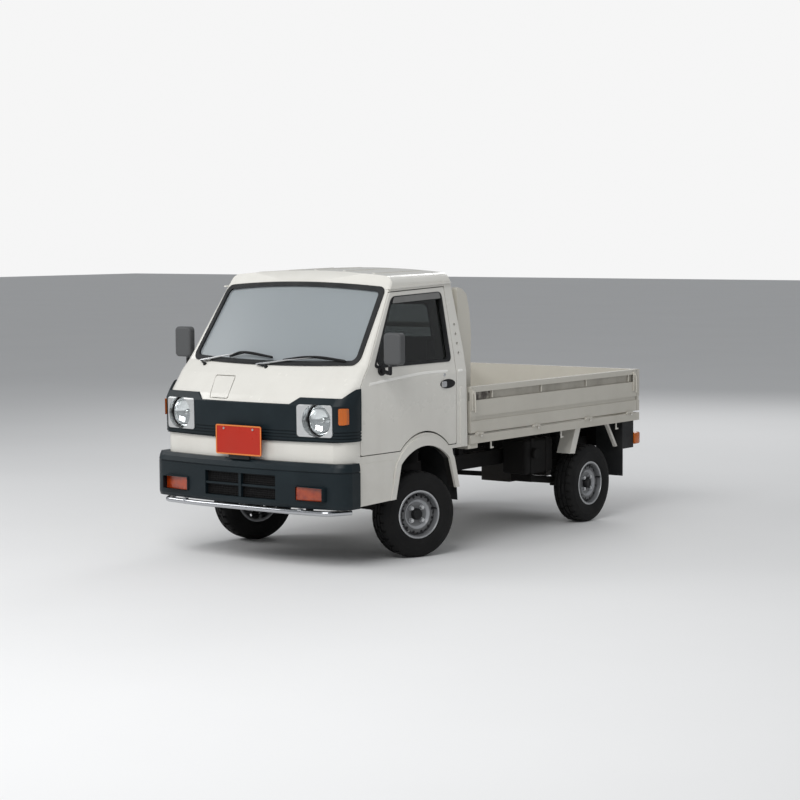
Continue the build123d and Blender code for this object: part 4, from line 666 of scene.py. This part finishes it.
def wheel_nuts(corner):
    """Nuts on their seats, and the bright ring on the rim's flange."""
    place = wheel_place(corner)
    work = bmesh.new()
    for index in range(NUTS):
        turn = Matrix.Rotation(2 * pi * (index + 0.5) / NUTS, 4, "X")
        at = place @ turn @ placed((0, NUT_CIRCLE, 0))
        turned(work, [(0.0300, 0.0), (0.0300, 0.0150), (0.0345, 0.0136), (0.0345, 0.0)], at, 20)
        turned(work, [(0.0340, 0.0), (0.0340, 0.0125), (0.0455, 0.0125), (0.0475, 0.0112), (0.0475, 0.0060),
                      (0.0500, 0.0050), (0.0500, 0.0)], at, 6)
    turned(work, [(0.0572, 0.1374), (0.0628, 0.1374), (0.0645, 0.1352), (0.0640, 0.1318), (0.0612, 0.1302),
                  (0.0590, 0.1335)], place, 64, ring=True)
    finished("wheel_nuts_" + corner, work, bright_steel, "wheel_" + corner, 32.0)


def vent_shade_pads(corner):
    """Black pads round the wheel's disc, laid on its skin: painted shade where the vent holes are."""
    place = wheel_place(corner)
    outward = place.to_3x3() @ Vector((1, 0, 0))
    work = bmesh.new()
    for index in range(VENTS):
        turn = Matrix.Rotation(2 * pi * (index + 0.5) / VENTS, 4, "X")
        spot, normal = hit("rim_" + corner, place @ turn @ Vector((0.2, VENT_CIRCLE, 0)), -outward)
        if spot:
            at = placed(spot) @ facing(normal if normal.dot(outward) > 0 else -normal)
            turned(work, [(-0.0020, 0.0), (-0.0020, 0.0080), (0.0004, 0.0085), (0.0010, 0.0078), (0.0010, 0.0)], at,
                   14)
    finished("vent_shade_pads_" + corner, work, black_trim, "wheel_" + corner)


# Lamps

HEADLAMP_X, HEADLAMP_Z = 0.498, 0.820


def headlamps():
    """Mirrored bowls, dark rims with their three tabs, and the shields before the bulbs."""
    deep, rims, shields = bmesh.new(), bmesh.new(), bmesh.new()
    for side in (1, -1):
        place = placed((side * HEADLAMP_X, 0, HEADLAMP_Z), 90.0)
        bowl = [(-1.4725, 0.0862), (-1.4600, 0.0800), (-1.4450, 0.0660), (-1.4340, 0.0480), (-1.4280, 0.0280),
                (-1.4262, 0.0130), (-1.4250, 0.0130), (-1.4250, 0.0872), (-1.4725, 0.0872)]
        turned(deep, bowl, place, 56, ring=True)
        turned(rims, [(-1.4815, 0.0846), (-1.4835, 0.0860), (-1.4835, 0.0880), (-1.4800, 0.0893), (-1.4728, 0.0893),
                      (-1.4728, 0.0846)], place, 64, ring=True)
        for angle in (35.0, 155.0, 270.0):
            tab = brick(rims, about(0, 0.010), (-1.4860, -1.4790), (0.0790, 0.0890), 0.0012)
            bmesh.ops.rotate(rims, cent=(0, 0, 0), matrix=Matrix.Rotation(radians(angle), 3, "Y"), verts=tab)
            bmesh.ops.translate(rims, vec=(side * HEADLAMP_X, 0, HEADLAMP_Z), verts=tab)
        turned(shields, [(-1.4640, 0.0), (-1.4640, 0.0090), (-1.4610, 0.0125), (-1.4500, 0.0135), (-1.4270, 0.0120),
                         (-1.4270, 0.0)], place, 24)
    finished("headlamp_bowls", deep, lamp_mirror)
    finished("headlamp_rims", rims, black_trim)
    finished("bulb_shields", shields, silver)


def lamp_frames():
    """Dark frames round the bumper lamps, laid on the bumper's skin."""
    work = bmesh.new()
    for side in (1, -1):
        for vert in plate(work, rect(*span(side, 0.3895, 0.5845), 0.3835, 0.4675), 0.010, 0.0035, hole=0.0065):
            spot = hit("front_bumper", (vert.co.x, -1.8, min(max(vert.co.z, 0.381), 0.470)), (0, 1, 0))[0]
            if spot and spot.y < -1.45:
                vert.co.y += spot.y - 0.0025
            else:
                vert.co.y -= 1.58
    finished("bumper_lamp_frames", work, slate)


TAIL_LENS_Z = (0.4495, 0.5285)
TAIL_SHELL_Z = (0.4485, 0.5295)


def tail_lamps():
    """Tail lamp clusters in the CAD blocks' place: housing, two lenses and an amber one round the corner."""
    shell, red, orange, white = bmesh.new(), bmesh.new(), bmesh.new(), bmesh.new()
    for side in (1, -1):
        brick(shell, span(side, 0.4705, 0.6400), (1.5305, 1.5740), TAIL_SHELL_Z, 0.004)
        brick(shell, span(side, 0.5005, 0.6100), (1.5310, 1.5420), (0.5265, 0.5600), 0.002)
        brick(shell, span(side, 0.6380, 0.6440), (1.5305, 1.5930), TAIL_SHELL_Z, 0.002)
        brick(white, span(side, 0.4725, 0.5195), (1.5720, 1.5955), TAIL_LENS_Z, 0.0045)
        brick(red, span(side, 0.5205, 0.6370), (1.5720, 1.5955), TAIL_LENS_Z, 0.0045)
        brick(orange, span(side, 0.6440, 0.6935), (1.5320, 1.5965), TAIL_LENS_Z, 0.012)
    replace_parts(finished("tail_lamp_housings", shell, black_trim), "rear_lamps")
    finished("tail_lamp_red", red, red_lens)
    finished("tail_lamp_amber", orange, amber)
    finished("tail_lamp_white", white, milk_lens)


# Nose and tail trim

def intake():
    """Black backing and mesh behind the bumper's bars."""
    work = bmesh.new()
    brick(work, about(0, 0.292), (-1.5540, -1.5446), (0.3600, 0.5340), 0.002)
    finished("intake_backing", work, underside)
    work = bmesh.new()
    bmesh.ops.create_grid(work, x_segments=44, y_segments=12, size=0.5)
    bmesh.ops.transform(work, matrix=placed((0, -1.5600, 0.446), 90.0, "X") @ Matrix.Diagonal((0.524, 0.144, 1.0, 1.0)),
                        verts=work.verts)
    cells = list(work.faces)
    bmesh.ops.inset_individual(work, faces=cells, thickness=0.0012)
    bmesh.ops.delete(work, geom=cells, context="FACES_ONLY")
    bmesh.ops.solidify(work, geom=list(work.faces), thickness=0.0016)
    finished("intake_mesh", work, black_trim)


BORDER_DEPTH = 0.0016


def plate_trim():
    """Raised borders and bolts of the blank plates, and the front plate's stay."""
    edge, bolts, stay = bmesh.new(), bmesh.new(), bmesh.new()
    brick(stay, about(0, 0.0745), (-1.5873, -1.5720), (0.5890, 0.6125), 0.002)
    finished("plate_stay", stay, black_trim)
    for low, face, way in ((0.612, -1.5880, -1.0), (0.440, 1.5333, 1.0)):
        ring = plate(edge, rect(*about(0, 0.1650), low, low + 0.1650), 0.012, BORDER_DEPTH, hole=0.0075)
        bmesh.ops.translate(edge, vec=(0, face - (BORDER_DEPTH if way < 0 else 0.0), 0), verts=ring)
        for x in about(0, 0.105):
            at = placed((x, face, low + 0.145), 90.0 * way)
            turned(bolts, [(0.0, 0.0), (0.0, 0.0075), (0.0012, 0.0078), (0.0040, 0.0066), (0.0048, 0.0)], at, 6)
    finished("plate_borders", edge, plate_orange)
    finished("plate_bolts", bolts, bright_steel)


# Pivot, heel and head of each arm, and both tips of its blade
WIPERS = (
    ((-0.4727, -1.3294, 1.0853), (-0.5078, -1.3242, 1.1069), (-0.1834, -1.3213, 1.1624),
     (-0.2875, -1.3228, 1.1366), (0.0312, -1.3308, 1.1413)),
    ((0.0112, -1.3598, 1.0862), (-0.0514, -1.3637, 1.1011), (0.3246, -1.3201, 1.1499),
     (0.1200, -1.3395, 1.1290), (0.5247, -1.2984, 1.1332)),
)


def bumper_rail():
    """Bright tube under the bumper, bent round its corners, on two stays."""
    work = bmesh.new()
    bend = [(0.650, -1.412), (0.634, -1.444), (0.598, -1.518), (0.575, -1.5425), (0.520, -1.5500), (0.330, -1.5735),
            (0.270, -1.5750)]
    route = [(-x, y, 0.322) for x, y in bend] + [(x, y, 0.322) for x, y in reversed(bend)]
    tube(work, route, 0.0148)
    for x in (-0.420, 0.420):
        brick(work, about(x, 0.0135), (-1.5780, -1.5540), (0.330, 0.3420), 0.002)
    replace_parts(finished("bumper_rail", work, rail_chrome), "bumper_bar")


def wiper_set():
    """Silver arms, black arched blades and pivots."""
    arms, blades = bmesh.new(), bmesh.new()
    out = Vector((0.0, -0.72, 0.69))
    for places in WIPERS:
        pivot, heel, head, tip_a, tip_b = (Vector(place) for place in places)
        middle = heel.lerp(head, 0.5) + out * 0.004
        tube(arms, [heel - (head - heel) * 0.02, heel.lerp(head, 0.06), middle, head - (head - heel) * 0.06, head],
             0.0046)
        tube(arms, [heel, heel.lerp(head, 0.10), heel.lerp(head, 0.22)], 0.0072)
        turned(blades, [(-0.016, 0.0), (-0.016, 0.0120), (0.002, 0.0115), (0.008, 0.0085), (0.013, 0.0075),
                        (0.014, 0.0)], placed(pivot) @ facing(out), 20)
        tube(blades, [pivot + out * 0.008, pivot.lerp(heel, 0.6) + out * 0.007, heel], 0.0052)
        tube(blades, [tip_a, tip_a.lerp(head, 0.55) + out * 0.010, head + out * 0.004,
                      tip_b.lerp(head, 0.55) + out * 0.010, tip_b], 0.0058)
        for start, end in ((tip_a, head), (tip_b, head)):
            tube(blades, [start - out * 0.004, start.lerp(end, 0.5) - out * 0.003, end - out * 0.005], 0.0046)
    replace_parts(finished("wiper_blades", blades, black_trim), "wipers")
    finished("wiper_arms", arms, bright_steel)


# Doors

# The belt's height at its front end and its rise aft, and how high the flank goes above it
BELT_Z, BELT_FRONT_Y, BELT_RISE, FLANK_HEIGHT = 1.107, -1.373, 0.0365, 0.396
# The flank's X at the belt, its spread aft from a place and over a length, and its X at the top
FLANK_LOW_X, FLANK_Y, FLANK_LENGTH, FLANK_SPREAD, FLANK_TOP_X = 0.656, -1.25, 0.868, 0.0155, 0.598


def flank(y, z):
    """How far out the cab's flank stands above the belt."""
    up = (z - (y - BELT_FRONT_Y) * BELT_RISE - BELT_Z) / FLANK_HEIGHT
    low = FLANK_LOW_X + (y - FLANK_Y) / FLANK_LENGTH * FLANK_SPREAD
    return low * (1 - up) + FLANK_TOP_X * up


def window_line(grow):
    """The side window's outline, in Y and Z, grown all round."""
    top, low, front, rear = 1.470 + grow, 1.100 - grow, -1.209 - grow * 1.2, -0.520 + grow
    return [(front, low), (rear, low + 0.004), (rear, top + 0.0169), (front + 0.61 * (top - low), top)]


def door_seals(side, body, label):
    """Rubber round the side window: a lip on the door's skin and the reveal down to the glass."""
    work = bmesh.new()
    for grow, width, outside, depth in ((0.008, 0.0125, 0.0028, 0.0045), (-0.0004, 0.0060, 0.0026, 0.0190)):
        for vert in plate(work, window_line(grow), 0.032, depth, hole=width):
            y, deep, z = vert.co
            vert.co = (side * (flank(y, z) + outside - deep), y, z)
    finished("window_rubber_" + label, work, rubber, body, 50.0)


def door_handle(side, body, label):
    """Oval handle: dark dish and paddle with a bright front third, and the lock under it."""
    dark, bright = bmesh.new(), bmesh.new()
    at = on_skin("door_" + label, (side * 0.9, -0.562, 0.971), (-side, 0, 0))
    for work, wide, tall, shift, depth in ((dark, 0.070, 0.0270, 0.0, 0.0045), (dark, 0.060, 0.0185, 0.002, 0.0085)):
        before = set(work.verts)
        bmesh.ops.create_circle(work, cap_ends=True, segments=40, radius=1.0)
        made = added(work, before)
        flat = placed((0, 0, 0), 90.0, "X") @ Matrix.Diagonal((wide, tall, 1, 1))
        bmesh.ops.transform(work, matrix=flat, verts=made)
        bmesh.ops.scale(work, vec=(0.96, 1, 0.92), verts=deepened(work, faces_of(made), -depth))
        bmesh.ops.translate(work, vec=(shift, 0.0006, 0), verts=added(work, before))
    plate(bright, rect(*span(side, 0.022, 0.064), *about(0, 0.0165)), 0.010, 0.0060, place=placed((0, -0.0125, 0)))
    turned(bright, [(0.0, 0.0), (0.0, 0.0095), (0.0030, 0.0090), (0.0036, 0.0040), (0.0036, 0.0)],
           placed((0.030, 0, -0.052), -90.0), 24)
    for work in (dark, bright):
        bmesh.ops.transform(work, matrix=at, verts=work.verts)
    finished("handle_dish_" + label, dark, black_trim, body)
    finished("handle_grip_" + label, bright, chrome, body)


# Reach of the door trim
TRIM_Y = (-1.225, -0.560)
TRIM_Z = (0.700, 1.060)


def door_inside(side, body, label):
    """Trim panel with its pull, winder and armrest, laid on the door's inner skin."""
    corners = {(y, z): abs(hit("door_" + label, (0.0, y, z), (side, 0, 0))[0].x) for y in TRIM_Y for z in TRIM_Z}

    def inner(y, z, off):
        """A place at a distance inside the inner skin."""
        a = (y - TRIM_Y[0]) / (TRIM_Y[1] - TRIM_Y[0])
        b = (z - TRIM_Z[0]) / (TRIM_Z[1] - TRIM_Z[0])
        front, rear = ((1 - b) * corners[(edge, TRIM_Z[0])] + b * corners[(edge, TRIM_Z[1])] for edge in TRIM_Y)
        return (side * ((1 - a) * front + a * rear - off), y, z)

    work = bmesh.new()
    for vert in plate(work, rect(*TRIM_Y, *TRIM_Z), 0.03, 0.0060):
        vert.co = inner(vert.co.x, vert.co.z, vert.co.y + 0.0004)
    for vert in brick(work, (-0.900, -0.640), (0.004, 0.042), (0.900, 0.935), 0.010):
        vert.co = inner(vert.co.x, vert.co.z, vert.co.y)
    tube(work, [inner(-0.990, 0.830, 0.005), inner(-0.985, 0.830, 0.023), inner(-0.960, 0.860, 0.027),
                inner(-0.930, 0.905, 0.029), inner(-0.928, 0.908, 0.045)], 0.0055)
    finished("door_trim_" + label, work, cabin, body)


# The crease in Y and Z, on the door and behind it
CREASE = ((-1.262, 1.007), (-1.154, 1.018), (-1.035, 1.027), (-0.915, 1.036), (-0.787, 1.043), (-0.667, 1.044),
          (-0.560, 1.042), (-0.478, 1.040))
REAR_CREASE = ((-0.456, 1.040), (-0.420, 1.039), (-0.380, 1.038))


def belt_crease(side, body, label):
    """Pressed line along the flank below the window, on the door and on the quarter behind it, in a lighter paint as a
    painted highlight.
    """
    for name, node, rider, line in (("door_crease_", "door_", body, CREASE),
                                    ("quarter_crease_", "cab_side_", "chassis", REAR_CREASE)):
        route = []
        for y, z in line:
            spot = hit(node + label, (side * 0.9, y, z), (-side, 0, 0))[0]
            if spot and abs(spot.x) > 0.64:
                route.append(spot - Vector((side * 0.0066, 0, 0)))
        work = bmesh.new()
        tube(work, route, 0.0108)
        finished(name + label, work, crease_highlight_paint, rider)


def rain_visor(side, body, label):
    """Smoked strip over the top of the side window, stood off the door on its upper edge."""
    work = bmesh.new()
    strip = plate(work, [(-0.992, 1.4400), (-0.535, 1.4560), (-0.535, 1.4900), (-0.960, 1.4740)], 0.008, 0.0030)
    for vert in strip:
        y, deep, z = vert.co
        vert.co = (side * (flank(y, z) + 0.0035 + (1.490 - z) * 0.16 - deep), y, z)
    finished("rain_visor_" + label, work, smoke, body)


def mirror_face(side, body, label):
    """Silvered glass on the mirror head's rear face."""
    work = bmesh.new()
    plate(work, rect(*span(side, 0.718, 0.818), 1.1210, 1.2790), 0.018, 0.0016, place=placed((0, -1.1562, 0)))
    finished("mirror_face_" + label, work, mirror_silver, body)


# Cabin

# Height of a pad's edge against its crown, and how far the sides pull in at the rim and between the corners
PAD_EDGE, RIM_PULL, SIDE_PULL = 0.80, 0.05, 0.022
CHANNEL_HALF, CHANNEL_DEPTH, CHANNEL_END = 0.07, 0.45, 0.8


def cushion(name, reach, crown, channels, replaces, lean=0.0):
    """Sprung seat pad: crowned top, sides that pull in between the corners, and sewn channels."""
    work = bmesh.new()
    bmesh.ops.create_cube(work, size=2.0)
    bmesh.ops.subdivide_edges(work, edges=work.edges[:], cuts=15, use_grid_fill=True)
    half = [(high - low) / 2 for low, high in reach]
    centre = [(high + low) / 2 for low, high in reach]
    thin = half.index(min(half))
    wide = [axis for axis in range(3) if axis != thin]
    for vert in work.verts:
        place = list(vert.co)
        a, b = (place[axis] for axis in wide)
        swell = (1.0 - a ** 4) * (1.0 - b ** 4)
        pull = 1.0 - RIM_PULL * (1.0 - abs(place[thin]) ** 2)
        size = [half[axis] * place[axis] for axis in range(3)]
        for axis, other in ((wide[0], b), (wide[1], a)):
            size[axis] *= pull * (1.0 - SIDE_PULL * (1.0 - other ** 2))
        size[thin] *= PAD_EDGE + (1.0 - PAD_EDGE) * swell
        for line in channels:
            near = max(0.0, 1.0 - abs(a - line) / CHANNEL_HALF)
            if abs(place[thin]) > 0.9 and abs(b) < CHANNEL_END:
                size[thin] -= place[thin] * crown * CHANNEL_DEPTH * near * near
        vert.co = [centre[axis] + size[axis] for axis in range(3)]
        vert.co.y += lean * (vert.co.z - reach[2][0])
    piece = finished(name, work, seat_cloth, sharp=180.0)
    soft = piece.modifiers.new("roundness", "SUBSURF")
    soft.levels = soft.render_levels = 1
    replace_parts(piece, replaces)


def seats():
    for side, label in SIDES:
        cushion("seat_pad_" + label, (span(side, 0.073, 0.557), (-1.036, -0.584), (0.702, 0.806)), 0.022,
                (-0.62, 0.0, 0.62), "seat_cushions")
        cushion("seat_rest_" + label, (span(side, 0.083, 0.547), (-0.572, -0.482), (0.815, 1.238)), 0.020,
                (-0.60, 0.0, 0.60), "seat_backs", lean=-0.012)


def cabin_fittings():
    """Instrument hood, vents, gear lever, hand brake, pedals, sun visors and horn button."""
    work = bmesh.new()
    brick(work, (-0.470, -0.190), (-1.2900, -1.2100), (1.0700, 1.1120), 0.014)
    for x in (-0.580, -0.085, 0.085, 0.540):
        brick(work, about(x, 0.048), (-1.2170, -1.1870), (1.0010, 1.0400), 0.004)
    for x in (-0.400, -0.310, -0.215):
        brick(work, about(x, 0.028), (-1.3180, -1.3080), (0.5900, 0.6500), 0.003)
        tube(work, [(x, -1.3140, 0.640), (x, -1.3380, 0.760), (x, -1.3460, 0.860)], 0.006)
    tube(work, [(-0.02, -1.0700, 0.662), (-0.02, -1.0800, 0.760), (-0.02, -1.0950, 0.860)], 0.0070)
    turned(work, [(-0.022, 0.0), (-0.020, 0.013), (0.0, 0.021), (0.016, 0.019), (0.025, 0.0)],
           placed((-0.02, -1.0970, 0.875), -82.0, "Y"), 24)
    turned(work, [(0.0, 0.052), (0.012, 0.046), (0.040, 0.018), (0.062, 0.010), (0.062, 0.0), (0.0, 0.0)],
           placed((-0.02, -1.0700, 0.6595), -90.0, "Y"), 24)
    tube(work, [(0.055, -0.780, 0.668), (0.055, -0.900, 0.712), (0.055, -1.000, 0.765), (0.055, -1.040, 0.772)],
         0.011)
    finished("cabin_fittings", work, cabin)
    work = bmesh.new()
    for side in (1, -1):
        plate(work, rect(*span(side, 0.130, 0.480), *about(0, 0.075)), 0.02, 0.014,
              place=placed((0, -0.880, 1.500), -82.0, "X"))
    finished("sun_visors", work, visor_cloth)
    work = bmesh.new()
    turned(work, [(0.010, 0.0), (0.010, 0.030), (0.016, 0.034), (0.020, 0.026), (0.022, 0.0)],
           placed((-0.330, -1.045, 1.020)) @ facing(Vector((0, 0.355, 0.501))), 32)
    finished("horn_button", work, black_trim, "hand_wheel")


# Load bed

HINGE_PIN = (0.7025, 0.661)
HINGE_Y = (-0.263, 0.344, 0.941, 1.444)
# Ends of the two knuckles along each pin, clear of the gate's tongue between them
KNUCKLES = ((-0.042, -0.0295), (0.0105, 0.0340))


def bed_details():
    """Ribs of the deck, latches and hinge knuckles of the side gates, corner stays and the guard's bolts."""
    work = bmesh.new()
    for index in range(11):
        brick(work, about(-0.55 + 0.11 * index, 0.020), (-0.180, 1.520), (0.6648, 0.6682), 0.0016)
    finished("deck_ribs", work, bed_shaded_paint)
    for side, label in SIDES:
        work = bmesh.new()
        for y in (-0.325, 1.505):
            brick(work, span(side, 0.6975, 0.7060), about(y, 0.017), (0.800, 0.925), 0.002)
            tube(work, [(side * 0.7060, y, 0.905), (side * 0.7130, y, 0.900), (side * 0.7150, y, 0.850),
                        (side * 0.7150, y, 0.790)], 0.0052)
            turned(work, [(0.0, 0.0), (0.0, 0.010), (0.006, 0.010), (0.008, 0.0)],
                   placed((side * 0.7060, y, 0.905), 0.0 if side > 0 else 180.0), 16)
        finished("gate_latches_" + label, work, bed_shaded_paint, label + "_gate")
        work = bmesh.new()
        for y in HINGE_Y:
            spot = placed((side * HINGE_PIN[0], y, HINGE_PIN[1]), 90.0)
            for low, high in KNUCKLES:
                turned(work, [(low, 0.0), (low, 0.0070), (low + 0.0015, 0.0085), (high - 0.0015, 0.0085),
                              (high, 0.0070), (high, 0.0)], spot, 20)
        finished("hinge_barrels_" + label, work, bed_shaded_paint)
        work = bmesh.new()
        brick(work, span(side, 0.600, 0.688), (-0.362, -0.262), (0.5780, 0.6066), 0.004)
        finished("corner_stay_" + label, work, bed_shaded_paint)
    work = bmesh.new()
    for side in (1, -1):
        for y in (-0.302, -0.222):
            for z in (0.700, 0.790):
                turned(work, [(0.0, 0.0), (0.0, 0.0115), (0.0015, 0.0115), (0.0015, 0.0088), (0.0070, 0.0085),
                              (0.0078, 0.0)], placed((side * 0.6001, y, z), 0.0 if side > 0 else 180.0), 6)
    finished("guard_bolts", work, bright_steel)


# Under the truck

COIL_POINTS, COIL_POINTS_A_TURN, COIL_RADIUS = 84, 12, 0.0365
FLAP_TOP_Z, FLAP_LEAN = 0.610, 0.10
SILENCER_Y, SILENCER_Z = 1.510, 0.330


def under_details():
    """Coil springs, front flaps, the tank's sender and bands, and the silencer's bands and ends."""
    work = bmesh.new()
    for side in (1, -1):
        route = []
        for index in range(COIL_POINTS):
            turn = 2 * pi * index / COIL_POINTS_A_TURN
            up = index / (COIL_POINTS - 1)
            route.append((side * (0.455 - 0.015 * up) + COIL_RADIUS * cos(turn), 0.953 + COIL_RADIUS * sin(turn),
                          0.268 + 0.322 * up))
        tube(work, route, 0.0060)
    finished("rear_springs", work, underside)
    work = bmesh.new()
    for side in (1, -1):
        for vert in brick(work, span(side, 0.420, 0.664), (-0.4710, -0.4650), (0.290, FLAP_TOP_Z), 0.002):
            vert.co.y += FLAP_LEAN * (FLAP_TOP_Z - vert.co.z)
    finished("front_flaps", work, rubber)
    work = bmesh.new()
    turned(work, [(0.0, 0.0), (0.0, 0.030), (0.010, 0.033), (0.026, 0.033), (0.030, 0.028), (0.030, 0.0)],
           placed((0.5597, 0.520, 0.470)), 32)
    for y in (0.505, 0.675):
        brick(work, (0.376, 0.5635), about(y, 0.014), (0.3377, 0.3407), 0.001)
        brick(work, (0.5603, 0.5635), about(y, 0.014), (0.3380, 0.5600), 0.001)
    finished("tank_bands", work, underside)
    work = bmesh.new()
    for x in (-0.190, 0.140):
        turned(work, [(-0.012, 0.0584), (-0.012, 0.0604), (0.012, 0.0604), (0.012, 0.0584)],
               placed((x, SILENCER_Y, SILENCER_Z)), 40, ring=True)
    for x in (-0.261, 0.189):
        turned(work, [(0.0, 0.0), (0.0, 0.0600), (0.004, 0.0600), (0.004, 0.0)],
               placed((x, SILENCER_Y, SILENCER_Z)), 40)
    finished("silencer_bands", work, rust_steel)


def dress_truck():
    for corner in WHEELS:
        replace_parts(tyre(corner), "tyre_" + corner)
        hub_cap(corner)
        wheel_nuts(corner)
        vent_shade_pads(corner)
    headlamps()
    lamp_frames()
    tail_lamps()
    intake()
    plate_trim()
    bumper_rail()
    wiper_set()
    for side, label in SIDES:
        for detail in (door_seals, door_handle, door_inside, mirror_face, belt_crease, rain_visor):
            detail(side, label + "_door", label)
    seats()
    cabin_fittings()
    bed_details()
    under_details()


def floor_and_light():
    finish = Finish("studio_floor", rough=0.75)
    finish.colour(finish.blend(finish.noise(0.6), *FLOOR_TONES))
    mesh = bpy.data.meshes.new("studio_floor")
    work = bmesh.new()
    bmesh.ops.create_grid(work, x_segments=1, y_segments=1, size=FLOOR_SIZE)
    work.to_mesh(mesh)
    work.free()
    floor = bpy.data.objects.new("studio_floor", mesh)
    mesh.materials.append(finish.material)
    bpy.context.collection.objects.link(floor)
    for panel in PANELS:
        soft_box(*panel)


dress_nodes()
dress_truck()
floor_and_light()
pale_world()
place_camera()
bpy.context.scene.view_settings.view_transform = "Standard"
